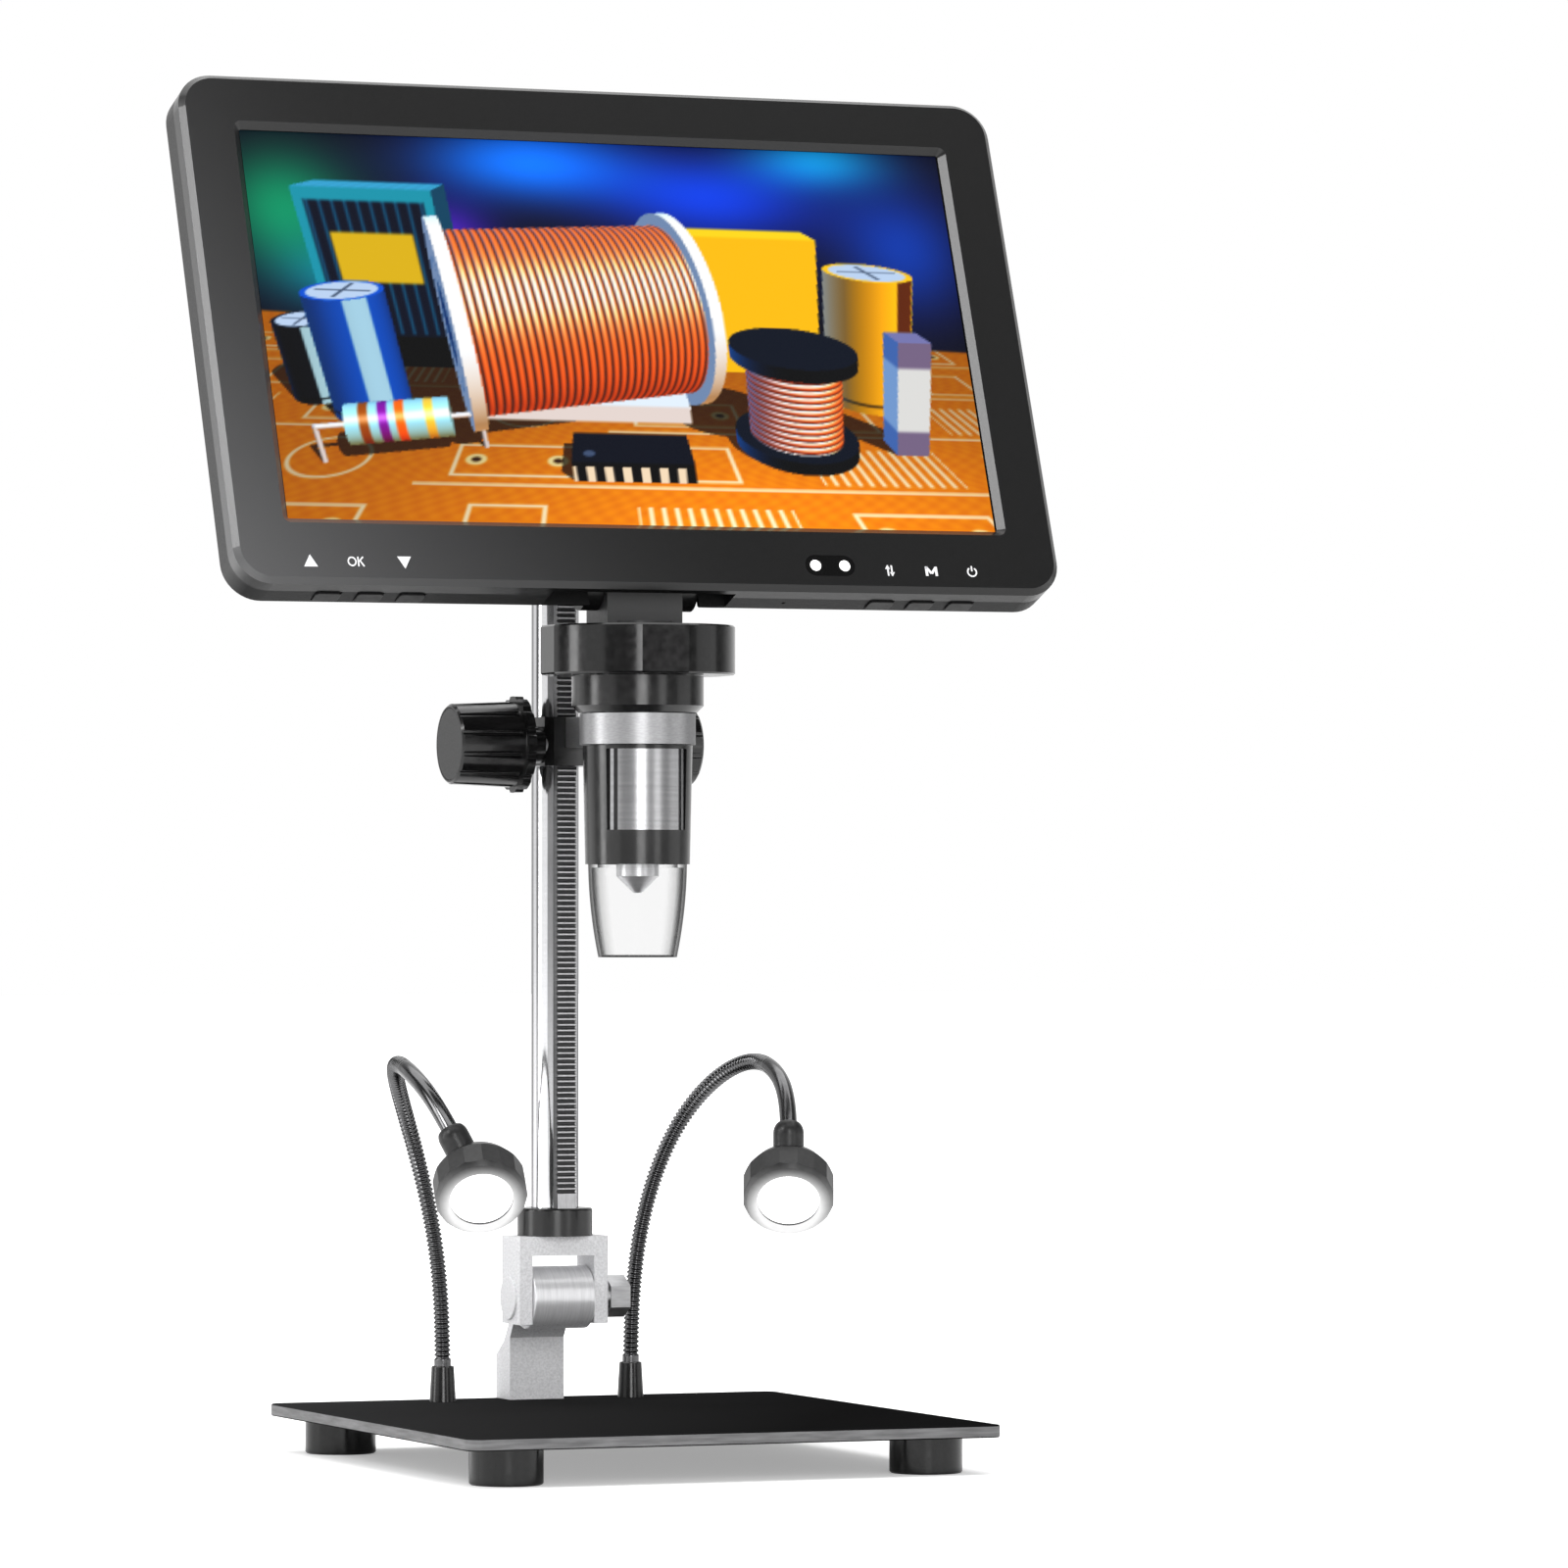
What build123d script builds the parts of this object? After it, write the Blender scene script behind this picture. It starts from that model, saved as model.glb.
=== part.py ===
from build123d import *
from math import acos, atan2, cos, hypot, pi, radians, sin, tan
import os

# LCD digital microscope on a tilting rack column, with two gooseneck lamps.
# Millimetres. Origin on the table under the middle of the base plate, +Z up,
# +X to the right as the user sees the screen, +Y to the back.

# ------------------------------------------------------------------ clearances
running = 0.05          # radial gap where a piece turns or slides in another
seat = 0.02             # radial gap of a fixed piece in its hole
free = 0.3              # gap between pieces that pass each other
overlap = 0.1           # how far joined solids run into each other
past = 1.0              # how far a cutter runs past what it cuts

# ------------------------------------------------------------------ base
plate_width = 164.4
plate_depth = 178.6
plate_thickness = 3.6
plate_corner = 4.0
plate_edge_break = 0.35
foot_radius = 10.65
foot_height = 10.75
foot_inset = 17.3       # foot centre from the plate's edges
foot_edge = 0.5
screw_radius = 1.6
screw_head_radius = 3.2
screw_head_height = 2.0
screw_head_edge = 0.8
foot_screw_depth = 2.6  # into the plate

# ------------------------------------------------------------------ tilt hinge
column_inset = 27.74    # the post's axis ahead of the plate's back edge
pivot_rise = 31.75      # of the tilt pivot above the plate
knuckle_radius = 9.5
knuckle_width = 19.5
knuckle_edge = 0.5
bracket_width = 17.5
bracket_block_front = 15.6      # from the pivot's axis to the back
bracket_back_rise = 13.15           # above the plate
bracket_slope_back = (21.0, 17.65)  # behind the pivot, above the plate
bracket_elbow_back = (16.3, 23.65)
bracket_elbow_front = (12.3, 23.65)
bracket_front_rise = 18.85
bracket_screw_spacing = 10.0
bracket_screw_depth = 9.0
clevis_width = 29.2
clevis_depth = 14.8
clevis_below = 7.8      # its lower end under the pivot
clevis_above = 18.7
clevis_bridge = 5.9
clevis_side_gap = 0.2
clevis_edge = 0.6
pivot_radius = 3.0
pivot_head_radius = 6.55
pivot_head_height = 0.8
washer_radius = 5.2
washer_thickness = 1.5
nut_across_flats = 11.1
nut_length = 6.3
bolt_end = 1.0          # bolt showing beyond the nut
bolt_end_edge = 0.4

# ------------------------------------------------------------------ column
post_radius = 7.13
post_length = 227.2     # above the clevis
post_edge = 0.8
post_spigot_radius = 5.2
post_socket = 4.2       # how far the post's spigot sits in the clevis
collar_radius = 11.4
collar_height = 8.45
collar_edge = 0.8
rack_width = 6.0
rack_face = 10.4        # tooth tips ahead of the post's axis
rack_seat = 5.2         # back of the rack ahead of the post's axis
rack_pitch = 1.705
rack_plain_end = 3.0
rack_top_margin = 6.0
pressure_angle = 20.0
pinion_teeth = 12
rack_root = 1.2         # depth of the rack's gaps below its pitch line, in modules
pinion_addendum = 0.8   # in modules
pinion_root = 1.15      # in modules
tooth_backlash = 0.16   # taken off each flank of the pinion

# ------------------------------------------------------------------ carriage
carriage_rise = 133.45  # above the post's collar
carriage_height = 14.7
carriage_width = 19.0
carriage_front_wall = 1.4       # ahead of the pinion's journal
carriage_back_wall = 4.07       # behind the post
carriage_edge = 2.2
carriage_back_flat = 2.0        # half of it
shaft_rise = 6.35       # of the pinion above the carriage's underside
journal_radius = 4.0
knob_seat_radius = 3.0
knob_end_wall = 2.0     # between the shaft's end and the cap
hub_radius = 5.5
knob_inner = 16.0       # flange from the middle plane
knob_outer = 38.8
knob_radius_inner = 12.95
knob_radius_outer = 12.06
knob_flange_radius = 14.5
knob_flange_width = 2.6
knob_flutes = 12
knob_flute_radius = 1.15
knob_flute_out = 0.4            # a flute's middle outside the knob's mean radius
knob_flute_start = 1.2          # from the flange
knob_scallop_radius = 2.1
knob_scallop_out = 1.3          # a scallop's middle outside the flange
knob_edge = 0.7
knob_cap_margin = 1.16          # from the cap to the knob's outer radius
knob_cap_thickness = 0.8
knob_cap_edge = 0.25

# ------------------------------------------------------------------ microscope head
# Heights in the head are counted from the clamp ring's underside.
head_reach = 69.24      # from the post's axis to the barrel's
ring_rise = 5.4         # above the carriage's underside
core_radius = 14.0
core_bore = 10.55
core_bottom = -26.1
core_top = 35.4
core_ledge_bottom = 23.9
core_ledge_top = 26.9
core_ledge_width = 0.95
ledge_root = 0.5        # how far a ledge runs into its tube
ring_radius = 17.15
ring_height = 9.1
arm_width = 7.0
clamp_screw_radius = 1.5
clamp_socket_radius = 0.75
clamp_socket_depth = 1.0
barrel_collar_radius = 19.5
barrel_collar_top = 20.2
barrel_collar_chamfer = 2.0
wheel_radius = 28.8
wheel_height = 14.6
wheel_flats = 4
wheel_flat_depth = 0.9
wheel_flat_angle = -4.0         # of one flat, from the front to the right
wheel_edge = 0.5
shell_top_radius = 16.2
shell_bottom_radius = 15.44
shell_bottom = -35.3
shell_bore = 12.9
panel_bottom = -25.2
panel_height = 23.8
panel_floor_radius = 14.9
panel_radius = 15.65
panel_turn = -7.0               # the panel's middle, from the front to the right
panel_opening_angle = 49.0      # half the recess
panel_angle = 36.0              # half the plate
strip_inner_angle = 40.8
strip_outer_angle = 45.0
shield_top_radius = 14.6
shield_bottom_radius = 11.6
shield_middle_radius = 13.75
shield_bottom = -62.7
shield_wall = 1.0
shield_spigot_height = 1.6
led_board_thickness = 1.2
led_board_bore = 6.8
led_count = 8
led_circle = 9.8
led_size = 2.4
led_height = 0.8
carrier_wall = 2.1
carrier_bottom = -25.1
carrier_top = 12.9
carrier_floor = 2.0
nose_radius = 6.3
nose_shoulder = -38.8
nose_tip = -43.7
nose_tip_radius = 1.3
nose_spigot_radius = 5.2
nose_spigot_height = 3.0
nose_bore = 3.0
nose_aperture = 0.7
nose_lens_seat = -41.1
lens_thickness = 2.0
lens_edge = 0.5
sensor_board_thickness = 1.4
sensor_size = 8.0
sensor_height = 1.2
neck_width = 23.7
neck_depth = 17.3
neck_spigot_height = 5.5
neck_cable_radius = 3.0
neck_cable_roof = 2.0   # left under the tilt pin
tilt_offset = 2.68      # the tilt axis behind the barrel's axis
tilt_rise = 45.9
tilt_pin_radius = 2.5
tilt_pin_edge = 0.3
lug_gap = 0.3
lug_width = 5.5
lug_radius = 6.4

# ------------------------------------------------------------------ screen
screen_lean = 21.25             # degrees back from upright
screen_flat_width = 256.25
screen_flat_height = 159.8
screen_bevel = 1.7
hinge_depth = 19.38             # the tilt axis behind the front face
hinge_rise = 6.03               # the tilt axis above the face's lower edge
screen_corner = 9.3
frame_depth = 6.7               # seam between the front frame and the rear cover
rim_depth = 15.0
shell_wall = 1.6
front_wall = 2.6
bezel_side = 14.145
bezel_bottom = 17.1
bezel_top = 13.56
window_bevel = 2.0
window_corner = 2.5
window_corner_inside = 0.8
rim_edge = 0.8                  # of the rear cover
glass_overlap = 1.4
glass_thickness = 0.8
lcd_thickness = 3.0
housing_width = 150.0
housing_low = 12.0              # up the face
housing_high = 85.0
housing_depth = 27.0
housing_corner = 9.0
housing_edge = 2.0
recess_left = 32.0
recess_right = 25.5
recess_front = 4.0
recess_top = 15.2
recess_wall = 1.1
button_width = 7.8
button_depth = 5.6
button_front = 7.1
button_proud = 0.55
button_flange = 0.5
button_flange_thickness = 0.8
button_flange_front = 0.35
button_edge = 0.25
button_gap = 0.1                # between a button, its wall and its switch
left_buttons = ("button_up", "button_ok", "button_down")           # from the side inwards
right_buttons = ("button_power", "button_menu", "button_swap")
button_left_inset = 28.025      # of the outermost button from the face's side
button_right_inset = 28.775
button_pitch = 12.9
button_travel = 0.5
button_corner = 1.2
switch_size = 3.6
switch_height = 2.6
button_board_thickness = 1.2
button_board_margin = 6.0
button_board_gap = 0.4          # behind the seam
ir_window_inset = 72.925        # from the face's right side
ir_window_rise = 6.3
ir_window_width = 15.8
ir_window_height = 6.6
ir_window_depth = 1.6
round_end_flat = 0.05           # left straight between two round corners
microphone_inset = 85.325
microphone_depth = 10.0
microphone_radius = 0.6
boss_inset = 6.725              # from the face's side edges
boss_low = 22.0
boss_drop = 21.8                # from the face's top edge
boss_radius = 3.0
cover_screw_radius = 1.2
cover_screw_head = 2.5
cover_screw_sink = 0.9
cover_screw_length = 7.0
screw_slot_depth = 0.4
screw_slot_half = 0.3
board_side = 13.0               # from the housing's outside
board_below = 9.0
board_above = 5.0
board_thickness = 1.6
board_inset = 10.0              # the board's front ahead of the housing's back
board_boss_radius = 2.8
board_boss_inset = 5.0
battery_width = 70.0
battery_height = 42.0
battery_thickness = 6.0
battery_corner = 2.5
vent_count = 9
vent_length = 40.0
vent_width = 1.8
vent_pitch = 4.6
vent_drop = 29.0                # under the housing's top
port_width = 9.4
port_height = 3.6
port_drop = 25.0
port_tongue_half = 8.0          # of the board's tongue behind the port
port_tongue_root = 2.0
chip_sizes = ((-30.0, -10.5, 16.0), (8.0, 11.5, 12.0), (34.0, -14.5, 10.0))  # from the middle, size
chip_height = 1.4

# ------------------------------------------------------------------ lamps
lamp_x = 30.5
lamp_inset = 12.3               # ahead of the plate's back edge
ferrule_radius_low = 4.05
ferrule_radius_high = 3.45
ferrule_height = 10.8
ferrule_edge = 0.3
neck_tube_radius = 2.6
neck_socket_floor = 1.6         # of the ferrule, under the neck
# Centre line of the right-hand gooseneck, counted from its foot on the plate: across, back, up.
gooseneck_route = (
    (0.0, 0.0, 19.65),
    (0.9, -0.2, 37.65),
    (3.8, -0.4, 55.65),
    (8.9, -2.4, 73.65),
    (15.7, -8.4, 89.25),
    (22.5, -19.4, 99.85),
    (27.2, -33.8, 104.25),
    (28.1, -50.2, 101.05),
    (25.9, -64.4, 93.25),
)
lamp_ball_place = (22.62, -72.46, 82.25)
route_rounding = 0.45           # share of a run that its corner's arc takes
lamp_ball_radius = 3.6
lamp_cup_radius = 4.6
lamp_cup_opening = 63.0         # half angle of the cup's mouth
lamp_boss_reach = 8.0           # from the ball towards the head
lamp_socket_out = 13.0          # the ball from the light's axis
lamp_socket_back = 9.8          # the ball behind the head's middle
lamp_aims = {"right": (-0.304, -0.744, -0.596), "left": (-0.197, -0.793, -0.588)}
lamp_socket_turns = {"right": 0.0, "left": 35.0}        # of the ball about the light's axis, from the top
lamp_facets = 16
lamp_radius = 13.7
lamp_wall = 1.4
lamp_front = 6.4
lamp_band_back = -2.6
lamp_shoulder = (-6.4, 11.6)    # along the axis, radius
lamp_crown = (-9.8, 7.4)
lamp_back = -11.6
lamp_front_radius = 12.4
lamp_front_chamfer = 1.6
lamp_lens_radius = 9.3
lamp_lens_thickness = 1.6
lamp_lens_face = 5.6
lamp_board_face = -0.6
lamp_board_thickness = 1.2
lamp_board_space = 1.4          # behind the board
lamp_lens_flange = 1.0
lamp_led_size = 5.0
lamp_led_height = 1.0

# ------------------------------------------------------------------ derived
plate_bottom = foot_height
plate_top = foot_height + plate_thickness
bracket_block_back = column_inset
column_y = plate_depth / 2 - column_inset
lamp_y = plate_depth / 2 - lamp_inset
pivot_height = plate_top + pivot_rise
clevis_bottom = pivot_height - clevis_below
clevis_top = pivot_height + clevis_above
post_bottom = clevis_top - post_socket
post_top = clevis_top + post_length
collar_top = clevis_top + collar_height
module = rack_pitch / pi
pinion_radius = pinion_teeth * module / 2
pinion_y = column_y - rack_face + module - pinion_radius
carriage_front = column_y - pinion_y + journal_radius + carriage_front_wall
carriage_back = post_radius + carriage_back_wall
carriage_bottom = collar_top + carriage_rise
carriage_top = carriage_bottom + carriage_height
shaft_height = carriage_bottom + shaft_rise
knob_seat_end = knob_outer - knob_cap_thickness - knob_end_wall
knob_cap_radius = knob_radius_outer - knob_cap_margin
barrel_y = column_y - head_reach
ring_bottom = carriage_bottom + ring_rise
ring_top = ring_bottom + ring_height
core_ledge_bore = core_bore - core_ledge_width
carrier_radius = core_bore - running
carrier_bore = carrier_radius - carrier_wall
barrel_collar_bottom = ring_height + free
wheel_bottom = barrel_collar_top + free
shell_top = -free
shield_spigot_radius = shell_bore - running
window_width = screen_flat_width - 2 * bezel_side
window_height = screen_flat_height - bezel_bottom - bezel_top
window_centre = bezel_bottom + window_height / 2
boss_x = screen_flat_width / 2 - boss_inset
boss_high = screen_flat_height - boss_drop
ir_window_x = screen_flat_width / 2 - ir_window_inset
microphone_x = screen_flat_width / 2 - microphone_inset
board_width = housing_width - 2 * board_side
board_low = housing_low + board_below
board_high = housing_high - board_above
board_middle = (board_low + board_high) / 2
board_front = housing_depth - board_inset
vent_rise = housing_high - vent_drop
port_rise = housing_high - port_drop
BARREL = Pos(0, barrel_y, ring_bottom)
TILT_AXIS = Pos(0, barrel_y + tilt_offset, ring_bottom + tilt_rise)
SCREEN = TILT_AXIS * Rot(-screen_lean, 0, 0) * Pos(0, -hinge_depth, -hinge_rise)


# ------------------------------------------------------------------ helpers
def block(x, y, z):
    """A box between two values on each axis."""
    middle = [(low + high) / 2 for low, high in (x, y, z)]
    size = [high - low for low, high in (x, y, z)]
    return Pos(*middle) * Box(*size)


def upright(radius, low, high, x=0.0, y=0.0):
    """A cylinder along Z."""
    return Pos(x, y, (low + high) / 2) * Cylinder(radius, high - low)


def crosswise(radius, left, right, y, z):
    """A cylinder along X."""
    return Pos((left + right) / 2, y, z) * Rot(0, 90, 0) * Cylinder(radius, right - left)


def backwards(radius, front, back, x, z):
    """A cylinder along Y."""
    return Pos(x, (front + back) / 2, z) * Rot(90, 0, 0) * Cylinder(radius, back - front)


def turned(points):
    """A solid turned about Z from (radius, height) points."""
    outline = Plane.XZ * make_face(Polyline(*points, close=True))
    return revolve(outline, Axis.Z)


def tube(outer, inner, low, high):
    return upright(outer, low, high) - upright(inner, low - past, high + past)


def panel(x, up, depth, corner):
    """A slab with rounded corners, standing in the screen's own frame."""
    width, height = x[1] - x[0], up[1] - up[0]
    outline = RectangleRounded(width, height, corner) if corner else Rectangle(width, height)
    slab = extrude(outline, depth[1] - depth[0])
    return Rot(90, 0, 0) * Pos((x[0] + x[1]) / 2, (up[0] + up[1]) / 2, -depth[1]) * slab


def tooth_widths(height):
    """Half the width of a rack tooth at a height above its pitch line."""
    return rack_pitch / 4 - height * tan(radians(pressure_angle))


def mirrored(shape):
    return mirror(shape, Plane.YZ)


def save(name, shape):
    shape.label = name
    export_step(shape, "parts/" + name + ".step")


# ------------------------------------------------------------------ base
def foot_places():
    x = plate_width / 2 - foot_inset
    y = plate_depth / 2 - foot_inset
    return [(-x, -y), (x, -y), (-x, y), (x, y)]


def bracket_screw_places():
    y = column_y + (bracket_block_front + bracket_block_back) / 2
    return [(-bracket_screw_spacing / 2, y), (bracket_screw_spacing / 2, y)]


def base_plate():
    outline = fillet(Rectangle(plate_width, plate_depth).vertices(), plate_corner)
    plate = Pos(0, 0, plate_bottom) * extrude(outline, plate_thickness)
    rims = plate.faces().sort_by(Axis.Z)[-1].edges() + plate.faces().sort_by(Axis.Z)[0].edges()
    plate = chamfer(rims, plate_edge_break)
    for x, y in foot_places():
        top = plate_bottom + foot_screw_depth + free
        plate -= upright(screw_radius + seat, plate_bottom - past, top, x, y)
    for x, y in bracket_screw_places():
        plate -= upright(screw_radius + seat, plate_bottom - past, plate_top + past, x, y)
    return plate


def rubber_foot():
    foot = upright(foot_radius, 0, foot_height)
    foot = chamfer(foot.faces().sort_by(Axis.Z)[0].edges(), foot_edge)
    foot -= upright(screw_radius + seat, -past, foot_height + past)
    foot -= upright(screw_head_radius + free, -past, foot_height / 2)
    return foot


def pan_screw(seat_height, length):
    """A screw that points up, its head's upper face at seat_height."""
    head = upright(screw_head_radius, seat_height - screw_head_height, seat_height)
    head = fillet(head.faces().sort_by(Axis.Z)[0].edges(), screw_head_edge)
    return head + upright(screw_radius, seat_height - overlap, seat_height + length)


def rubber_feet():
    return Compound([Pos(x, y, 0) * rubber_foot() for x, y in foot_places()])


def foot_screws():
    length = foot_height / 2 + foot_screw_depth
    return Compound([Pos(x, y, 0) * pan_screw(foot_height / 2, length) for x, y in foot_places()])


def bracket_screws():
    length = plate_thickness + bracket_screw_depth
    return Compound([Pos(x, y, 0) * pan_screw(plate_bottom, length) for x, y in bracket_screw_places()])


# ------------------------------------------------------------------ tilt hinge
def tangent_point(point, side):
    """Where a line from a point, behind the pivot and above the plate, touches the knuckle."""
    back, height = point[0], point[1] - pivot_rise
    angle = atan2(height, back) + side * acos(knuckle_radius / hypot(back, height))
    return knuckle_radius * cos(angle), pivot_rise + knuckle_radius * sin(angle)


def hinge_bracket():
    points = [
        (bracket_block_front, 0.0),
        (bracket_block_back, 0.0),
        (bracket_block_back, bracket_back_rise),
        bracket_slope_back,
        bracket_elbow_back,
        tangent_point(bracket_elbow_back, 1),
        (0.0, pivot_rise),
        tangent_point(bracket_elbow_front, -1),
        bracket_elbow_front,
        (bracket_block_front, bracket_front_rise),
    ]
    outline = Plane.YZ * make_face(Polyline(*points, close=True))
    arm = Pos(-bracket_width / 2, column_y, plate_top) * extrude(outline, bracket_width)
    knuckle = crosswise(knuckle_radius, -knuckle_width / 2, knuckle_width / 2, column_y, pivot_height)
    knuckle = fillet(knuckle.edges().filter_by(GeomType.CIRCLE), knuckle_edge)
    bracket = arm + knuckle
    bracket -= crosswise(pivot_radius + running, -knuckle_width, knuckle_width, column_y, pivot_height)
    hole_top = plate_top + bracket_screw_depth + free
    for x, y in bracket_screw_places():
        bracket -= upright(screw_radius + seat, plate_top - past, hole_top, x, y)
    return bracket


def clevis():
    half = clevis_width / 2
    slot = knuckle_width / 2 + clevis_side_gap
    front, back = column_y - clevis_depth / 2, column_y + clevis_depth / 2
    body = block((-half, half), (front, back), (clevis_bottom, clevis_top))
    body = chamfer(body.edges().filter_by(Axis.Z), clevis_edge)
    bridge = clevis_top - clevis_bridge
    body -= block((-slot, slot), (front - past, back + past), (clevis_bottom - past, bridge))
    body -= crosswise(pivot_radius + seat, -half - past, half + past, column_y, pivot_height)
    body -= upright(post_spigot_radius + seat, post_bottom, clevis_top + past, 0, column_y)
    return body


def pivot_bolt():
    left, right = -clevis_width / 2, clevis_width / 2
    end = right + washer_thickness + nut_length + bolt_end
    head = crosswise(pivot_head_radius, left - pivot_head_height, left, column_y, pivot_height)
    head = fillet(head.faces().sort_by(Axis.X)[0].edges(), pivot_head_height / 2)
    shank = crosswise(pivot_radius, left - pivot_head_height / 2, end, column_y, pivot_height)
    shank = chamfer(shank.faces().sort_by(Axis.X)[-1].edges(), bolt_end_edge)
    return head + shank


def pivot_washer():
    left = clevis_width / 2
    right = left + washer_thickness
    ring = crosswise(washer_radius, left, right, column_y, pivot_height)
    return ring - crosswise(pivot_radius + seat, left - past, right + past, column_y, pivot_height)


def pivot_nut():
    left = clevis_width / 2 + washer_thickness
    outline = RegularPolygon(nut_across_flats / 2, 6, major_radius=False)
    nut = Pos(left, column_y, pivot_height) * Rot(0, 90, 0) * extrude(outline, nut_length)
    return nut - crosswise(pivot_radius + seat, left - past, left + nut_length + past, column_y, pivot_height)


# ------------------------------------------------------------------ column
def post_collar():
    ring = upright(collar_radius, clevis_top, collar_top)
    ring = fillet(ring.faces().sort_by(Axis.Z)[-1].edges(), collar_edge)
    ring -= upright(post_radius + seat, clevis_top - past, collar_top + past)
    return Pos(0, column_y, 0) * ring


def column_post():
    post = upright(post_radius, clevis_top, post_top)
    post = chamfer(post.faces().sort_by(Axis.Z)[-1].edges(), post_edge)
    post += upright(post_spigot_radius, post_bottom, clevis_top + overlap)
    half = rack_width / 2 + seat
    post -= block((-half, half), (-post_radius - past, -rack_seat), (collar_top, post_top + past))
    return Pos(0, column_y, 0) * post


def rack_top():
    return post_top - rack_top_margin


def rack_teeth():
    """Heights of the rack's tooth middles; one gap faces the pinion's shaft."""
    low = collar_top + rack_plain_end + rack_pitch
    high = rack_top() - rack_pitch
    first = shaft_height + rack_pitch / 2
    below = int((first - low) / rack_pitch)
    above = int((high - first) / rack_pitch)
    return [first + step * rack_pitch for step in range(-below, above + 1)]


def gear_rack():
    tip, root = rack_face, rack_face - (1 + rack_root) * module
    tip_half, root_half = tooth_widths(module), tooth_widths(-rack_root * module)
    points = [(-rack_seat, collar_top), (-tip, collar_top)]
    teeth = rack_teeth()
    points += [(-tip, teeth[0] - rack_pitch + tip_half), (-root, teeth[0] - rack_pitch + root_half)]
    for middle in teeth:
        points += [(-root, middle - root_half), (-tip, middle - tip_half)]
        points += [(-tip, middle + tip_half), (-root, middle + root_half)]
    points += [(-root, rack_top()), (-rack_seat, rack_top())]
    outline = Plane.YZ * make_face(Polyline(*points, close=True))
    return Pos(-rack_width / 2, column_y, 0) * extrude(outline, rack_width)


# ------------------------------------------------------------------ carriage
def carriage_block():
    half = carriage_width / 2
    front, back = column_y - carriage_front, column_y + carriage_back
    body = block((-half, half), (front, back), (carriage_bottom, carriage_top))
    body = fillet(body.edges().filter_by(Axis.Z).sort_by(Axis.Y)[2:], half - carriage_back_flat)
    body = chamfer(body.edges().filter_by(Axis.Z).sort_by(Axis.Y)[:2], carriage_edge)
    body -= upright(post_radius + running, carriage_bottom - past, carriage_top + past, 0, column_y)
    slot = rack_width / 2 + free
    body -= block((-slot, slot), (column_y - rack_face - free, column_y),
                  (carriage_bottom - past, carriage_top + past))
    body -= crosswise(journal_radius + running, -half - past, half + past, pinion_y, shaft_height)
    return body


def clamp_ring():
    ring = upright(ring_radius, ring_bottom, ring_top, 0, barrel_y)
    half = arm_width / 2
    arm = block((-half, half), (barrel_y + core_radius, column_y - carriage_front), (ring_bottom, ring_top))
    body = ring + arm
    body -= upright(core_radius + running, ring_bottom - past, ring_top + past, 0, barrel_y)
    middle = (ring_bottom + ring_top) / 2
    return body - crosswise(clamp_screw_radius + seat, 0, ring_radius + past, barrel_y, middle)


def clamp_screw():
    middle = (ring_bottom + ring_top) / 2
    screw = crosswise(clamp_screw_radius, core_radius + running, ring_radius, barrel_y, middle)
    socket = RegularPolygon(clamp_socket_radius, 6)
    cutter = extrude(socket, clamp_socket_depth + past)
    return screw - Pos(ring_radius - clamp_socket_depth, barrel_y, middle) * Rot(0, 90, 0) * cutter


def pinion_outline():
    """The pinion's toothed outline, one tooth towards the rack."""
    tip, root = pinion_radius + pinion_addendum * module, pinion_radius - pinion_root * module
    points = []
    for tooth in range(pinion_teeth):
        turn = 2 * pi * tooth / pinion_teeth
        heights = ((root, -pinion_root), (pinion_radius, 0.0), (tip, pinion_addendum))
        flank = [(radius, tooth_widths(rise * module) - tooth_backlash) for radius, rise in heights]
        both = [(radius, -half) for radius, half in flank] + [(radius, half) for radius, half in flank[::-1]]
        for radius, half in both:
            angle = turn + half / radius
            points.append((radius * cos(angle), radius * sin(angle)))
    return make_face(Polyline(*points, close=True))


def pinion_shaft():
    half = carriage_width / 2 + free / 2
    teeth_half = rack_width / 2 + free / 2
    shaft = crosswise(knob_seat_radius, -knob_seat_end, knob_seat_end, pinion_y, shaft_height)
    shaft += crosswise(journal_radius, -half, half, pinion_y, shaft_height)
    shaft -= crosswise(journal_radius + past, -teeth_half, teeth_half, pinion_y, shaft_height)
    gear = extrude(Plane.YZ * pinion_outline(), 2 * teeth_half)
    return shaft + Pos(-teeth_half, pinion_y, shaft_height) * gear


def right_knob():
    start = carriage_width / 2 + free
    flange_end = knob_inner + knob_flange_width
    body = Solid.make_cone(knob_radius_inner, knob_radius_outer, knob_outer - flange_end)
    body = Pos(0, 0, flange_end) * body
    body = chamfer(body.faces().sort_by(Axis.Z)[-1].edges(), knob_edge)
    flute_circle = (knob_radius_inner + knob_radius_outer) / 2 + knob_flute_out
    flute_low = flange_end + knob_flute_start
    scallops = Circle(knob_flange_radius)
    for flute in range(knob_flutes):
        turn = 2 * pi * (flute + 0.5) / knob_flutes
        x, y = flute_circle * cos(turn), flute_circle * sin(turn)
        body -= upright(knob_flute_radius, flute_low, knob_outer + past, x, y)
        wide = knob_flange_radius + knob_scallop_out
        scallops -= Pos(wide * cos(turn), wide * sin(turn)) * Circle(knob_scallop_radius)
    flange = Pos(0, 0, knob_inner) * extrude(scallops, knob_flange_width)
    knob = body + flange + upright(hub_radius, start, knob_inner + overlap)
    knob -= upright(knob_seat_radius + seat, start - past, knob_seat_end)
    knob -= upright(knob_cap_radius + seat, knob_outer - knob_cap_thickness, knob_outer + past)
    return Pos(0, pinion_y, shaft_height) * Rot(0, 90, 0) * knob


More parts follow.
